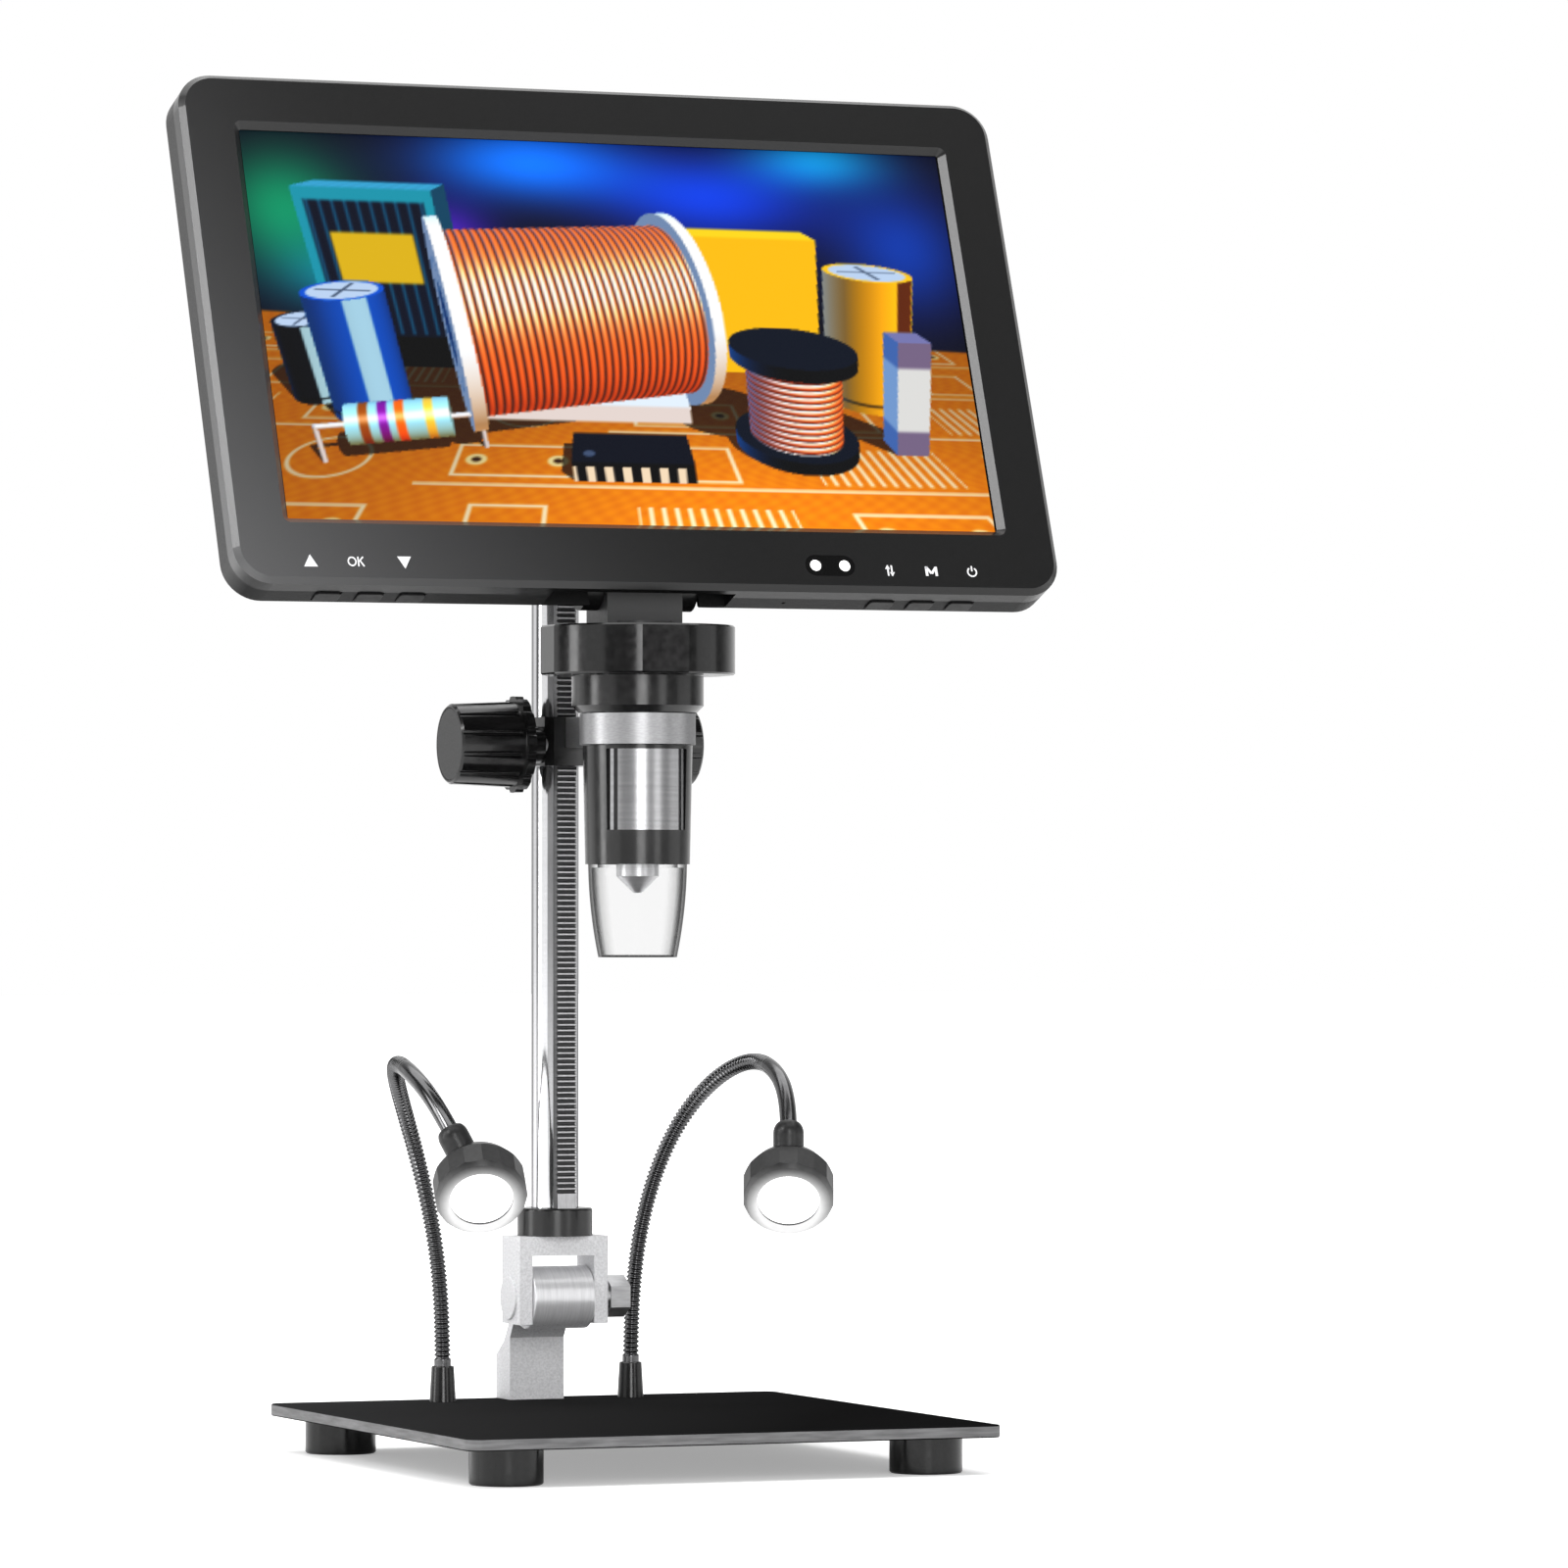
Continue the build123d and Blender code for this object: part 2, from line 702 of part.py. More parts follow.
def right_knob_cap():
    cap = upright(knob_cap_radius, knob_outer - knob_cap_thickness, knob_outer)
    cap = chamfer(cap.faces().sort_by(Axis.Z)[-1].edges(), knob_cap_edge)
    return Pos(0, pinion_y, shaft_height) * Rot(0, 90, 0) * cap


# ------------------------------------------------------------------ microscope head
def head_core():
    core = tube(core_radius, core_bore, core_bottom, core_top)
    core += tube(core_bore + ledge_root, core_ledge_bore, core_ledge_bottom, core_ledge_top)
    return BARREL * core


def barrel_collar():
    points = [
        (core_radius + seat, barrel_collar_bottom),
        (barrel_collar_radius - barrel_collar_chamfer, barrel_collar_bottom),
        (barrel_collar_radius, barrel_collar_bottom + barrel_collar_chamfer),
        (barrel_collar_radius, barrel_collar_top),
        (core_radius + seat, barrel_collar_top),
    ]
    return BARREL * turned(points)


def sector(inner, outer, low, high, start, end):
    """A piece of a tube between two angles, measured from the front to the right."""
    ring = tube(outer, inner, low, high)
    reach = 3 * outer
    middle, half = (start + end) / 2, (end - start) / 2
    steps = 8
    points = [(0.0, 0.0)]
    for step in range(steps + 1):
        angle = radians(middle - half + 2 * half * step / steps)
        points.append((reach * sin(angle), -reach * cos(angle)))
    wedge = Pos(0, 0, low - past) * extrude(make_face(Polyline(*points, close=True)), high - low + 2 * past)
    return ring & wedge


def barrel_shell():
    points = [
        (shell_bore, shell_bottom),
        (shell_bottom_radius, shell_bottom),
        (shell_top_radius, shell_top),
        (core_radius + seat, shell_top),
        (core_radius + seat, core_bottom),
        (shell_bore, core_bottom),
    ]
    shell = turned(points)
    high = panel_bottom + panel_height
    shell -= sector(panel_floor_radius, shell_top_radius + past, panel_bottom, high,
                    panel_turn - panel_opening_angle, panel_turn + panel_opening_angle)
    return BARREL * shell


def barrel_panel():
    high = panel_bottom + panel_height
    plate = sector(panel_floor_radius, panel_radius, panel_bottom, high, -panel_angle, panel_angle)
    return BARREL * Rot(0, 0, panel_turn) * plate


def panel_strips():
    high = panel_bottom + panel_height
    right = sector(panel_floor_radius, panel_radius, panel_bottom, high, strip_inner_angle, strip_outer_angle)
    return BARREL * Rot(0, 0, panel_turn) * Compound([right, mirrored(right)])


def focus_wheel():
    outline = Circle(wheel_radius)
    for flat in range(wheel_flats):
        turn = wheel_flat_angle + 360 * flat / wheel_flats
        cutter = Pos(0, -2 * wheel_radius + wheel_flat_depth) * Rectangle(2 * wheel_radius, 2 * wheel_radius)
        outline -= Rot(0, 0, turn) * cutter
    wheel = Pos(0, 0, wheel_bottom) * extrude(outline, wheel_height)
    rims = wheel.faces().sort_by(Axis.Z)[-1].edges() + wheel.faces().sort_by(Axis.Z)[0].edges()
    wheel = chamfer(rims, wheel_edge)
    bore = upright(core_radius + running, wheel_bottom - past, wheel_bottom + wheel_height + past)
    return BARREL * (wheel - bore)


def light_shield():
    top = shell_bottom
    middle = (top + shield_bottom) / 2
    outer = ThreePointArc((shield_top_radius, top), (shield_middle_radius, middle),
                          (shield_bottom_radius, shield_bottom))
    inner = ThreePointArc((shield_bottom_radius - shield_wall, shield_bottom),
                          (shield_middle_radius - shield_wall, middle),
                          (shield_top_radius - shield_wall, top - shield_wall))
    spigot_inner = shield_spigot_radius - shield_wall
    spigot_top = top + shield_spigot_height
    step = Polyline((shield_top_radius - shield_wall, top - shield_wall), (spigot_inner, top - shield_wall),
                    (spigot_inner, spigot_top), (shield_spigot_radius, spigot_top),
                    (shield_spigot_radius, top), (shield_top_radius, top))
    rim = Line((shield_bottom_radius, shield_bottom), (shield_bottom_radius - shield_wall, shield_bottom))
    return BARREL * revolve(Plane.XZ * make_face([outer, rim, inner, step]), Axis.Z)


def led_ring_board():
    low = shell_bottom + shield_spigot_height
    board = tube(shell_bore - seat, led_board_bore, low, low + led_board_thickness)
    for led in range(led_count):
        turn = 360 * led / led_count
        lamp = block((led_circle - led_size / 2, led_circle + led_size / 2), (-led_size / 2, led_size / 2),
                     (low - led_height, low + overlap))
        board += Rot(0, 0, turn) * lamp
    return BARREL * board


def lens_carrier():
    body = tube(carrier_radius, carrier_bore, carrier_bottom, carrier_top)
    floor = tube(carrier_bore + ledge_root, nose_spigot_radius + seat, carrier_bottom,
                 carrier_bottom + carrier_floor)
    return BARREL * (body + floor)


def lens_cone():
    top = carrier_bottom + nose_spigot_height
    points = [
        (nose_aperture, nose_tip), (nose_tip_radius, nose_tip), (nose_radius, nose_shoulder),
        (nose_radius, carrier_bottom), (nose_spigot_radius, carrier_bottom), (nose_spigot_radius, top),
        (nose_bore, top), (nose_bore, nose_lens_seat), (nose_aperture, nose_lens_seat),
    ]
    return BARREL * turned(points)


def objective_lens():
    radius = nose_bore - seat
    top = nose_lens_seat + lens_thickness
    disc = upright(radius, nose_lens_seat, top)
    return BARREL * chamfer(disc.faces().sort_by(Axis.Z)[-1].edges(), lens_edge)


def sensor_board():
    low = core_ledge_top
    board = upright(core_bore - seat, low, low + sensor_board_thickness)
    half = sensor_size / 2
    board += block((-half, half), (-half, half), (low - sensor_height, low + overlap))
    return BARREL * board


def neck_block():
    half = neck_width / 2
    front, back = tilt_offset - neck_depth / 2, tilt_offset + neck_depth / 2
    body = block((-half, half), (front, back), (core_top, tilt_rise))
    body += crosswise(neck_depth / 2, -half, half, tilt_offset, tilt_rise)
    body += upright(core_bore - seat, core_top - neck_spigot_height, core_top + past)
    roof = tilt_rise - tilt_pin_radius - neck_cable_roof
    body -= upright(neck_cable_radius, core_top - neck_spigot_height - past, roof)
    body -= crosswise(tilt_pin_radius + seat, -half - past, half + past, tilt_offset, tilt_rise)
    return BARREL * body


def tilt_pin():
    end = neck_width / 2 + lug_gap + lug_width
    pin = crosswise(tilt_pin_radius, -end, end, 0, 0)
    return TILT_AXIS * chamfer(pin.edges().filter_by(GeomType.CIRCLE), tilt_pin_edge)


# ------------------------------------------------------------------ screen
def screen_outside(depth, corner=0.0, inset=0.0):
    """The screen's outline at full size, or smaller by an inset, over a depth range."""
    half = screen_flat_width / 2 + screen_bevel - inset
    low = -screen_bevel + inset
    high = screen_flat_height + screen_bevel - inset
    return panel((-half, half), (low, high), depth, corner)


def hinge_recess(grow):
    """The pocket in the screen's underside, open to the back only behind the neck and its lugs."""
    up = (-screen_bevel - past, recess_top + grow)
    front = recess_front - grow
    pocket = block((-recess_left - grow, recess_right + grow), (front, rim_depth - shell_wall + grow), up)
    half = neck_width / 2 + lug_width + grow
    return pocket + block((-half, half), (front, housing_depth + past), up)


def cavity(depth):
    """The inside of the screen's two shells over a depth range."""
    hollow = screen_outside(depth, screen_corner + screen_bevel - shell_wall, shell_wall)
    return hollow - hinge_recess(recess_wall)


def boss_places():
    return [(x, up) for x in (-boss_x, boss_x) for up in (boss_low, boss_high)]


def front_frame():
    frame = screen_outside((0, frame_depth), screen_corner + screen_bevel)
    frame = chamfer(frame.faces().sort_by(Axis.Y)[0].edges(), screen_bevel)
    frame -= cavity((front_wall, frame_depth + past))
    frame -= hinge_recess(0)
    inner_width = window_width - 2 * window_bevel
    inner_height = window_height - 2 * window_bevel
    front = RectangleRounded(window_width, window_height, window_corner)
    back = Pos(0, 0, -window_bevel) * RectangleRounded(inner_width, inner_height, window_corner_inside)
    opening = Rot(90, 0, 0) * Pos(0, window_centre, 0) * loft([front, back])
    half_width, half_height = inner_width / 2, inner_height / 2
    up = (window_centre - half_height, window_centre + half_height)
    opening += panel((-half_width, half_width), up, (window_bevel - seat, front_wall + past),
                     window_corner_inside)
    frame -= opening
    frame -= ir_outline((-1, ir_window_depth), seat)
    for x, up in boss_places():
        frame += backwards(boss_radius, front_wall - overlap, rim_depth - shell_wall, x, up)
        frame -= backwards(cover_screw_radius + seat, rim_depth - cover_screw_length - free, rim_depth, x, up)
    return SCREEN * frame


def ir_outline(depth, grow):
    half_width, half_height = ir_window_width / 2 + grow, ir_window_height / 2 + grow
    return panel((ir_window_x - half_width, ir_window_x + half_width),
                 (ir_window_rise - half_height, ir_window_rise + half_height), depth,
                 half_height - round_end_flat)


def ir_window():
    return SCREEN * ir_outline((0, ir_window_depth), 0)


def glass_outline(depth):
    half_width = window_width / 2 - window_bevel + glass_overlap
    half_height = window_height / 2 - window_bevel + glass_overlap
    up = (window_centre - half_height, window_centre + half_height)
    return panel((-half_width, half_width), up, depth, 0)


def cover_glass():
    return SCREEN * glass_outline((front_wall, front_wall + glass_thickness))


def lcd_panel():
    front = front_wall + glass_thickness
    return SCREEN * glass_outline((front, front + lcd_thickness))


def hinge_lug(side):
    inner = neck_width / 2 + lug_gap
    lug = crosswise(lug_radius, inner, inner + lug_width, 0, 0)
    lug = Pos(0, hinge_depth, hinge_rise) * lug
    lug += block((inner, inner + lug_width), (hinge_depth - lug_radius, hinge_depth + lug_radius),
                 (hinge_rise, recess_top + recess_wall))
    return mirrored(lug) if side < 0 else lug


def button_places():
    """Each button's name and its place across the screen."""
    half = screen_flat_width / 2
    places = {name: button_left_inset + step * button_pitch - half for step, name in enumerate(left_buttons)}
    for step, name in enumerate(right_buttons):
        places[name] = half - button_right_inset - step * button_pitch
    return places


def button_outline(x, up, grow):
    half = button_width / 2 + grow
    return block((x - half, x + half), (button_front - grow, button_front + button_depth + grow), up)


def rear_cover():
    corner = screen_corner + screen_bevel
    half = housing_width / 2
    cover = screen_outside((frame_depth, rim_depth), corner)
    cover = chamfer(cover.faces().sort_by(Axis.Y)[-1].edges(), rim_edge)
    housing = panel((-half, half), (housing_low, housing_high), (rim_depth - past, housing_depth),
                    housing_corner)
    housing = chamfer(housing.faces().sort_by(Axis.Y)[-1].edges(), housing_edge)
    inner_half = half - shell_wall
    inner = panel((-inner_half, inner_half), (housing_low + shell_wall, housing_high - shell_wall),
                  (rim_depth - shell_wall - past, housing_depth - shell_wall), housing_corner - shell_wall)
    hollow = cavity((frame_depth - past, rim_depth - shell_wall)) + (inner - hinge_recess(recess_wall))
    cover = cover + housing - hollow - hinge_recess(0)
    cover += hinge_lug(1) + hinge_lug(-1)
    cover -= crosswise(tilt_pin_radius + running, -recess_left, recess_right, hinge_depth, hinge_rise)
    for x, up in boss_places():
        cover -= backwards(cover_screw_radius + seat, 0, rim_depth + past, x, up)
        cover -= backwards(cover_screw_head + seat, rim_depth - cover_screw_sink, rim_depth + past, x, up)
    for x in button_places().values():
        cover -= button_outline(x, (-screen_bevel - past, shell_wall), free / 2)
    cover -= upright(microphone_radius, -screen_bevel - past, shell_wall, microphone_x, microphone_depth)
    for vent in range(vent_count):
        up = vent_rise + (vent - (vent_count - 1) / 2) * vent_pitch
        cover -= block((-vent_length / 2, vent_length / 2),
                       (housing_depth - shell_wall - past, housing_depth + past),
                       (up - vent_width / 2, up + vent_width / 2))
    cover -= port_cut(0)
    for x, up in board_boss_places():
        cover += backwards(board_boss_radius, board_front + board_thickness,
                           housing_depth - shell_wall + overlap, x, up)
    return SCREEN * cover


def port_cut(shrink):
    half = port_width / 2 - shrink
    middle = board_front + board_thickness + port_height / 2
    return block((housing_width / 2 - shell_wall - past, housing_width / 2 + past),
                 (middle - port_height / 2 + shrink, middle + port_height / 2 - shrink),
                 (port_rise - half, port_rise + half))


def board_boss_places():
    x = board_width / 2 - board_boss_inset
    rows = (board_low + board_boss_inset, board_high - board_boss_inset)
    return [(side * x, up) for side in (-1, 1) for up in rows]


def main_board():
    half = board_width / 2
    back = board_front + board_thickness
    board = block((-half, half), (board_front, back), (board_low, board_high))
    for x, rise, size in chip_sizes:
        up = board_middle + rise
        board += block((x - size / 2, x + size / 2), (board_front - chip_height, board_front + overlap),
                       (up - size / 2, up + size / 2))
    socket_half = port_width / 2 - free
    wall = housing_width / 2 - shell_wall
    board += block((half - port_tongue_root, wall - free), (board_front, back),
                   (port_rise - port_tongue_half, port_rise + port_tongue_half))
    board += block((half, wall - free), (back - overlap, back + port_height - free),
                   (port_rise - socket_half, port_rise + socket_half))
    board += block((half, wall + shell_wall / 2), (back + free, back + port_height - free),
                   (port_rise - socket_half, port_rise + socket_half))
    return SCREEN * board


def battery():
    back = housing_depth - shell_wall
    up = (board_middle - battery_height / 2, board_middle + battery_height / 2)
    depth = (back - battery_thickness, back)
    return SCREEN * panel((-battery_width / 2, battery_width / 2), up, depth, battery_corner)


def rear_screws():
    screws = []
    for x, up in boss_places():
        head = backwards(cover_screw_head, rim_depth - cover_screw_sink, rim_depth, x, up)
        shank = backwards(cover_screw_radius, rim_depth - cover_screw_length, rim_depth - overlap, x, up)
        slot = block((x - cover_screw_head / 2, x + cover_screw_head / 2),
                     (rim_depth - screw_slot_depth, rim_depth + past),
                     (up - screw_slot_half, up + screw_slot_half))
        screws.append(SCREEN * (head + shank - slot - Pos(x, 0, up) * Rot(0, 90, 0) * Pos(-x, 0, -up) * slot))
    return Compound(screws)


def wall_inside():
    """Height of the underside wall's inner face in the screen's own frame."""
    return shell_wall - screen_bevel


def push_button(x):
    low = -screen_bevel - button_proud
    inside = wall_inside() + button_gap
    stem = button_outline(x, (low, inside + overlap), 0)
    stem = fillet(stem.edges().filter_by(Axis.Z), button_corner)
    stem = fillet(stem.faces().sort_by(Axis.Z)[0].edges(), button_edge)
    flange = block((x - button_width / 2 - button_flange, x + button_width / 2 + button_flange),
                   (button_front - button_flange_front, button_front + button_depth + button_flange),
                   (inside, inside + button_flange_thickness))
    return SCREEN * (stem + flange)


def button_boards():
    boards = []
    switch_low = wall_inside() + button_flange_thickness + button_travel + 2 * button_gap
    board_up = switch_low + switch_height
    back = rim_depth - shell_wall
    places = sorted(button_places().values())
    for group in (places[:3], places[3:]):
        board = block((group[0] - button_board_margin, group[-1] + button_board_margin),
                      (frame_depth + button_board_gap, back), (board_up, board_up + button_board_thickness))
        middle = button_front + button_depth / 2
        for x in group:
            board += block((x - switch_size / 2, x + switch_size / 2),
                           (middle - switch_size / 2, middle + switch_size / 2),
                           (switch_low, board_up + overlap))
        boards.append(SCREEN * board)
    return Compound(boards)


# ------------------------------------------------------------------ lamps
def lamp_ferrule():
    top = plate_top + ferrule_height
    points = [
        (0, plate_top), (ferrule_radius_low, plate_top), (ferrule_radius_high, top - ferrule_edge),
        (ferrule_radius_high - ferrule_edge, top), (0, top),
    ]
    bore = upright(neck_tube_radius + running, plate_top + neck_socket_floor, top + past)
    return Pos(lamp_x, lamp_y, 0) * (turned(points) - bore)


def corner_radii(points):
    """Fillet radii that turn a route of straight runs into a smooth tube."""
    radii = []
    for before, here, after in zip(points, points[1:], points[2:]):
        into, out = Vector(here) - Vector(before), Vector(after) - Vector(here)
        half_turn = radians(into.get_angle(out)) / 2
        radii.append(route_rounding * min(into.length, out.length) / tan(half_turn))
    return radii


def neck_points():
    """The right-hand neck's centre line, from its ferrule to its ball."""
    points = [(0.0, 0.0, neck_socket_floor), *gooseneck_route, lamp_ball_place]
    return [(lamp_x + across, lamp_y + back, plate_top + up) for across, back, up in points]


def gooseneck():
    points = neck_points()
    route = FilletPolyline(*points, radius=corner_radii(points))
    neck = sweep(Pos(*points[0]) * Circle(neck_tube_radius), path=route)
    return neck + Pos(*points[-1]) * Sphere(lamp_ball_radius)


def neck_end(side):
    """The ball's centre, and the direction in which the neck leaves it."""
    flip = -1 if side == "left" else 1
    before, ball = [Vector(flip * x, y, z) for x, y, z in neck_points()[-2:]]
    return ball, (before - ball).normalized()


def lamp_frame(side):
    """The head's own frame: +Z where the light goes, +X towards the ball."""
    aim = Vector(*lamp_aims[side]).normalized()
    top = (Vector(0, 0, 1) - aim * aim.Z).normalized()
    outward = top.rotate(Axis((0, 0, 0), tuple(aim)), lamp_socket_turns[side])
    middle = neck_end(side)[0] - outward * lamp_socket_out + aim * lamp_socket_back
    return Plane(origin=middle, x_dir=outward, z_dir=aim)


def lamp_head(side):
    profile = [
        (0, lamp_back), (lamp_crown[1], lamp_crown[0]), (lamp_shoulder[1], lamp_shoulder[0]),
        (lamp_radius, lamp_band_back), (lamp_radius, lamp_front - lamp_front_chamfer),
        (lamp_front_radius, lamp_front), (0, lamp_front),
    ]
    facets = Rot(0, 0, 180 / lamp_facets) * RegularPolygon(lamp_radius, lamp_facets)
    facets = Pos(0, 0, lamp_back) * extrude(facets, lamp_front - lamp_back)
    board_back = lamp_board_face - lamp_board_thickness
    lens_back = lamp_lens_face - lamp_lens_thickness
    inside = [
        (0, board_back - lamp_board_space), (lamp_shoulder[1] - lamp_wall, board_back - lamp_board_space),
        (lamp_radius - lamp_wall, board_back), (lamp_radius - lamp_wall, lens_back), (0, lens_back),
    ]
    ball_place = (lamp_socket_out, 0, -lamp_socket_back)
    socket = Plane(origin=ball_place, z_dir=(-lamp_socket_out, 0, lamp_socket_back))
    boss = socket * (Sphere(lamp_cup_radius) + upright(lamp_cup_radius, 0, lamp_boss_reach))
    head = (turned(profile) & facets) + boss
    head -= turned(inside)
    head -= upright(lamp_lens_radius + seat, lens_back - past, lamp_front + past)
    ball, neck_direction = neck_end(side)
    mouth = lamp_cup_radius + past
    spread = mouth * tan(radians(lamp_cup_opening))
    head = lamp_frame(side) * head - Pos(*ball) * Sphere(lamp_ball_radius + running)
    return head - Plane(origin=ball, z_dir=neck_direction) * turned([(0, 0), (spread, mouth), (0, mouth)])


def lamp_led_board(side):
    back = lamp_board_face - lamp_board_thickness
    board = upright(lamp_radius - lamp_wall - seat, back, lamp_board_face)
    half = lamp_led_size / 2
    board += block((-half, half), (-half, half), (back + overlap, lamp_board_face + lamp_led_height))
    return lamp_frame(side) * board


def lamp_lens(side):
    back = lamp_lens_face - lamp_lens_thickness
    lens = upright(lamp_lens_radius, back, lamp_lens_face)
    lens += upright(lamp_radius - lamp_wall - seat, back - lamp_lens_flange, back)
    return lamp_frame(side) * lens


# ------------------------------------------------------------------ write the parts
os.makedirs("parts", exist_ok=True)

single_parts = (
    base_plate, rubber_feet, foot_screws, hinge_bracket, bracket_screws,
    clevis, pivot_bolt, pivot_washer, pivot_nut, post_collar, column_post, gear_rack,
    carriage_block, clamp_ring, clamp_screw, pinion_shaft, right_knob, right_knob_cap,
    head_core, barrel_collar, barrel_shell, barrel_panel, panel_strips, light_shield,
    led_ring_board, lens_carrier, lens_cone, objective_lens, sensor_board, focus_wheel,
    neck_block, tilt_pin,
    front_frame, rear_cover, cover_glass, lcd_panel, main_board, battery, rear_screws,
    ir_window, button_boards,
)
for make in single_parts:
    save(make.__name__, make())

save("left_knob", mirrored(right_knob()))
save("left_knob_cap", mirrored(right_knob_cap()))

for name, x in button_places().items():
    save(name, push_button(x))

for make in (lamp_ferrule, gooseneck):
    save("right_" + make.__name__, make())
    save("left_" + make.__name__, mirrored(make()))

for make in (lamp_head, lamp_led_board, lamp_lens):
    for side in lamp_aims:
        save(side + "_" + make.__name__, make(side))

print("pinion radius", round(pinion_radius, 4), "height", round(shaft_height, 3))
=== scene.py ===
from math import cos, pi, radians, sin

import bmesh
import bpy
import numpy as np
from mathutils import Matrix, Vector


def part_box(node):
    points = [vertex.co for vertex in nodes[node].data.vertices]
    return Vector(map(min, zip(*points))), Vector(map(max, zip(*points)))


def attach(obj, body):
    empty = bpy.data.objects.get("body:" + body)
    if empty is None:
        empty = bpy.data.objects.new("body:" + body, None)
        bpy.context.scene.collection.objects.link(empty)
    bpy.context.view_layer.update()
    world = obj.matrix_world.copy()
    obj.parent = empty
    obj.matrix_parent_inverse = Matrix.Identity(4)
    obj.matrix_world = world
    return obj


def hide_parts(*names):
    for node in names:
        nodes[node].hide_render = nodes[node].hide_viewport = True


# LCD digital microscope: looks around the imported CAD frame. Metres, +Z up, +Y to the back.

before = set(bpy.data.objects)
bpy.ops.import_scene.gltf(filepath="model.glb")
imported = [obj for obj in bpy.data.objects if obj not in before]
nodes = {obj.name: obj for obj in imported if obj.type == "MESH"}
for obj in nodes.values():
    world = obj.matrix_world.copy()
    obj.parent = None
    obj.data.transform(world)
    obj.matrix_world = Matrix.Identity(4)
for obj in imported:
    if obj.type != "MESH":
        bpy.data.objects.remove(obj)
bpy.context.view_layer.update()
MM = 0.001

# ------------------------------------------------------------------ sizes shared with the CAD part, mm
screen_lean = 21.25
tilt_y, tilt_z = -5.0, 258.0
hinge_depth, hinge_rise = 19.38, 6.03
window_middle = 81.67           # up the face
lit_size = (223.2, 125.4)
glass_front = 2.6               # behind the face
picture_gap = 0.06              # the lit picture ahead of the glass
ir_window_centre = (55.2, 6.3)
ir_dots_spacing = 9.3
left_marks = (-107.3, -93.2, -78.5)
right_marks = (74.2, 87.6, 100.8)
marks_rise = 5.0
post_axis_y = 61.56
rack_tip = 10.4
rack_root = 9.2
pivot_height = 46.1
knuckle_foot = 7.8              # below the pivot: the turned knuckle ends here
neck_tube_radius = 2.6
neck_start = (30.5, 77.0, 15.95)
gooseneck_route = (
    (30.5, 77.0, 34.0), (31.4, 76.8, 52.0), (34.3, 76.6, 70.0), (39.4, 74.6, 88.0), (46.2, 68.6, 103.6),
    (53.0, 57.6, 114.2), (57.7, 43.2, 118.6), (58.6, 26.8, 115.4), (56.4, 12.6, 107.6),
)
lamp_ball_centre = (53.12, 4.54, 96.6)
lamp_ball_radius = 3.6
glow_drop, glow_inner, glow_outer = 3.0, 9.5, 16.5
lamp_aims = {"left": (-0.197, -0.793, -0.588), "right": (-0.304, -0.744, -0.596)}

# the level direction from the object to the camera; the world is brightest on the far side
camera_side = (-0.3746, -0.9272, 0.0)
camera_place = (-0.859111, -2.226307, 0.164252)
camera_aim = (0.37793, 0.92571, 0.015236)
camera_lens = 185.07


# ------------------------------------------------------------------ node materials
class Graph:
    """A small helper that adds linked nodes to the tree of a material or the world."""

    def __init__(self, tree):
        self.tree = tree

    def node(self, kind, **settings):
        made = self.tree.nodes.new(kind)
        for key, value in settings.items():
            setattr(made, key, value)
        return made

    def link(self, source, target):
        self.tree.links.new(source, target)

    def dot(self, vector, direction):
        made = self.node("ShaderNodeVectorMath", operation="DOT_PRODUCT")
        made.inputs[1].default_value = direction
        self.link(vector, made.inputs[0])
        return made.outputs["Value"]

    def between(self, factor, low, high, start=0.3, end=0.7, curve="LINEAR"):
        """Maps a factor from start to end onto the values from low to high."""
        made = self.node("ShaderNodeMapRange", interpolation_type=curve)
        made.inputs["From Min"].default_value = start
        made.inputs["From Max"].default_value = end
        made.inputs["To Min"].default_value = low
        made.inputs["To Max"].default_value = high
        self.link(factor, made.inputs["Value"])
        return made.outputs["Result"]

    def maths(self, operation, first, second):
        made = self.node("ShaderNodeMath", operation=operation)
        for value, target in ((first, made.inputs[0]), (second, made.inputs[1])):
            if isinstance(value, (int, float)):
                target.default_value = value
            else:
                self.link(value, target)
        return made.outputs["Value"]


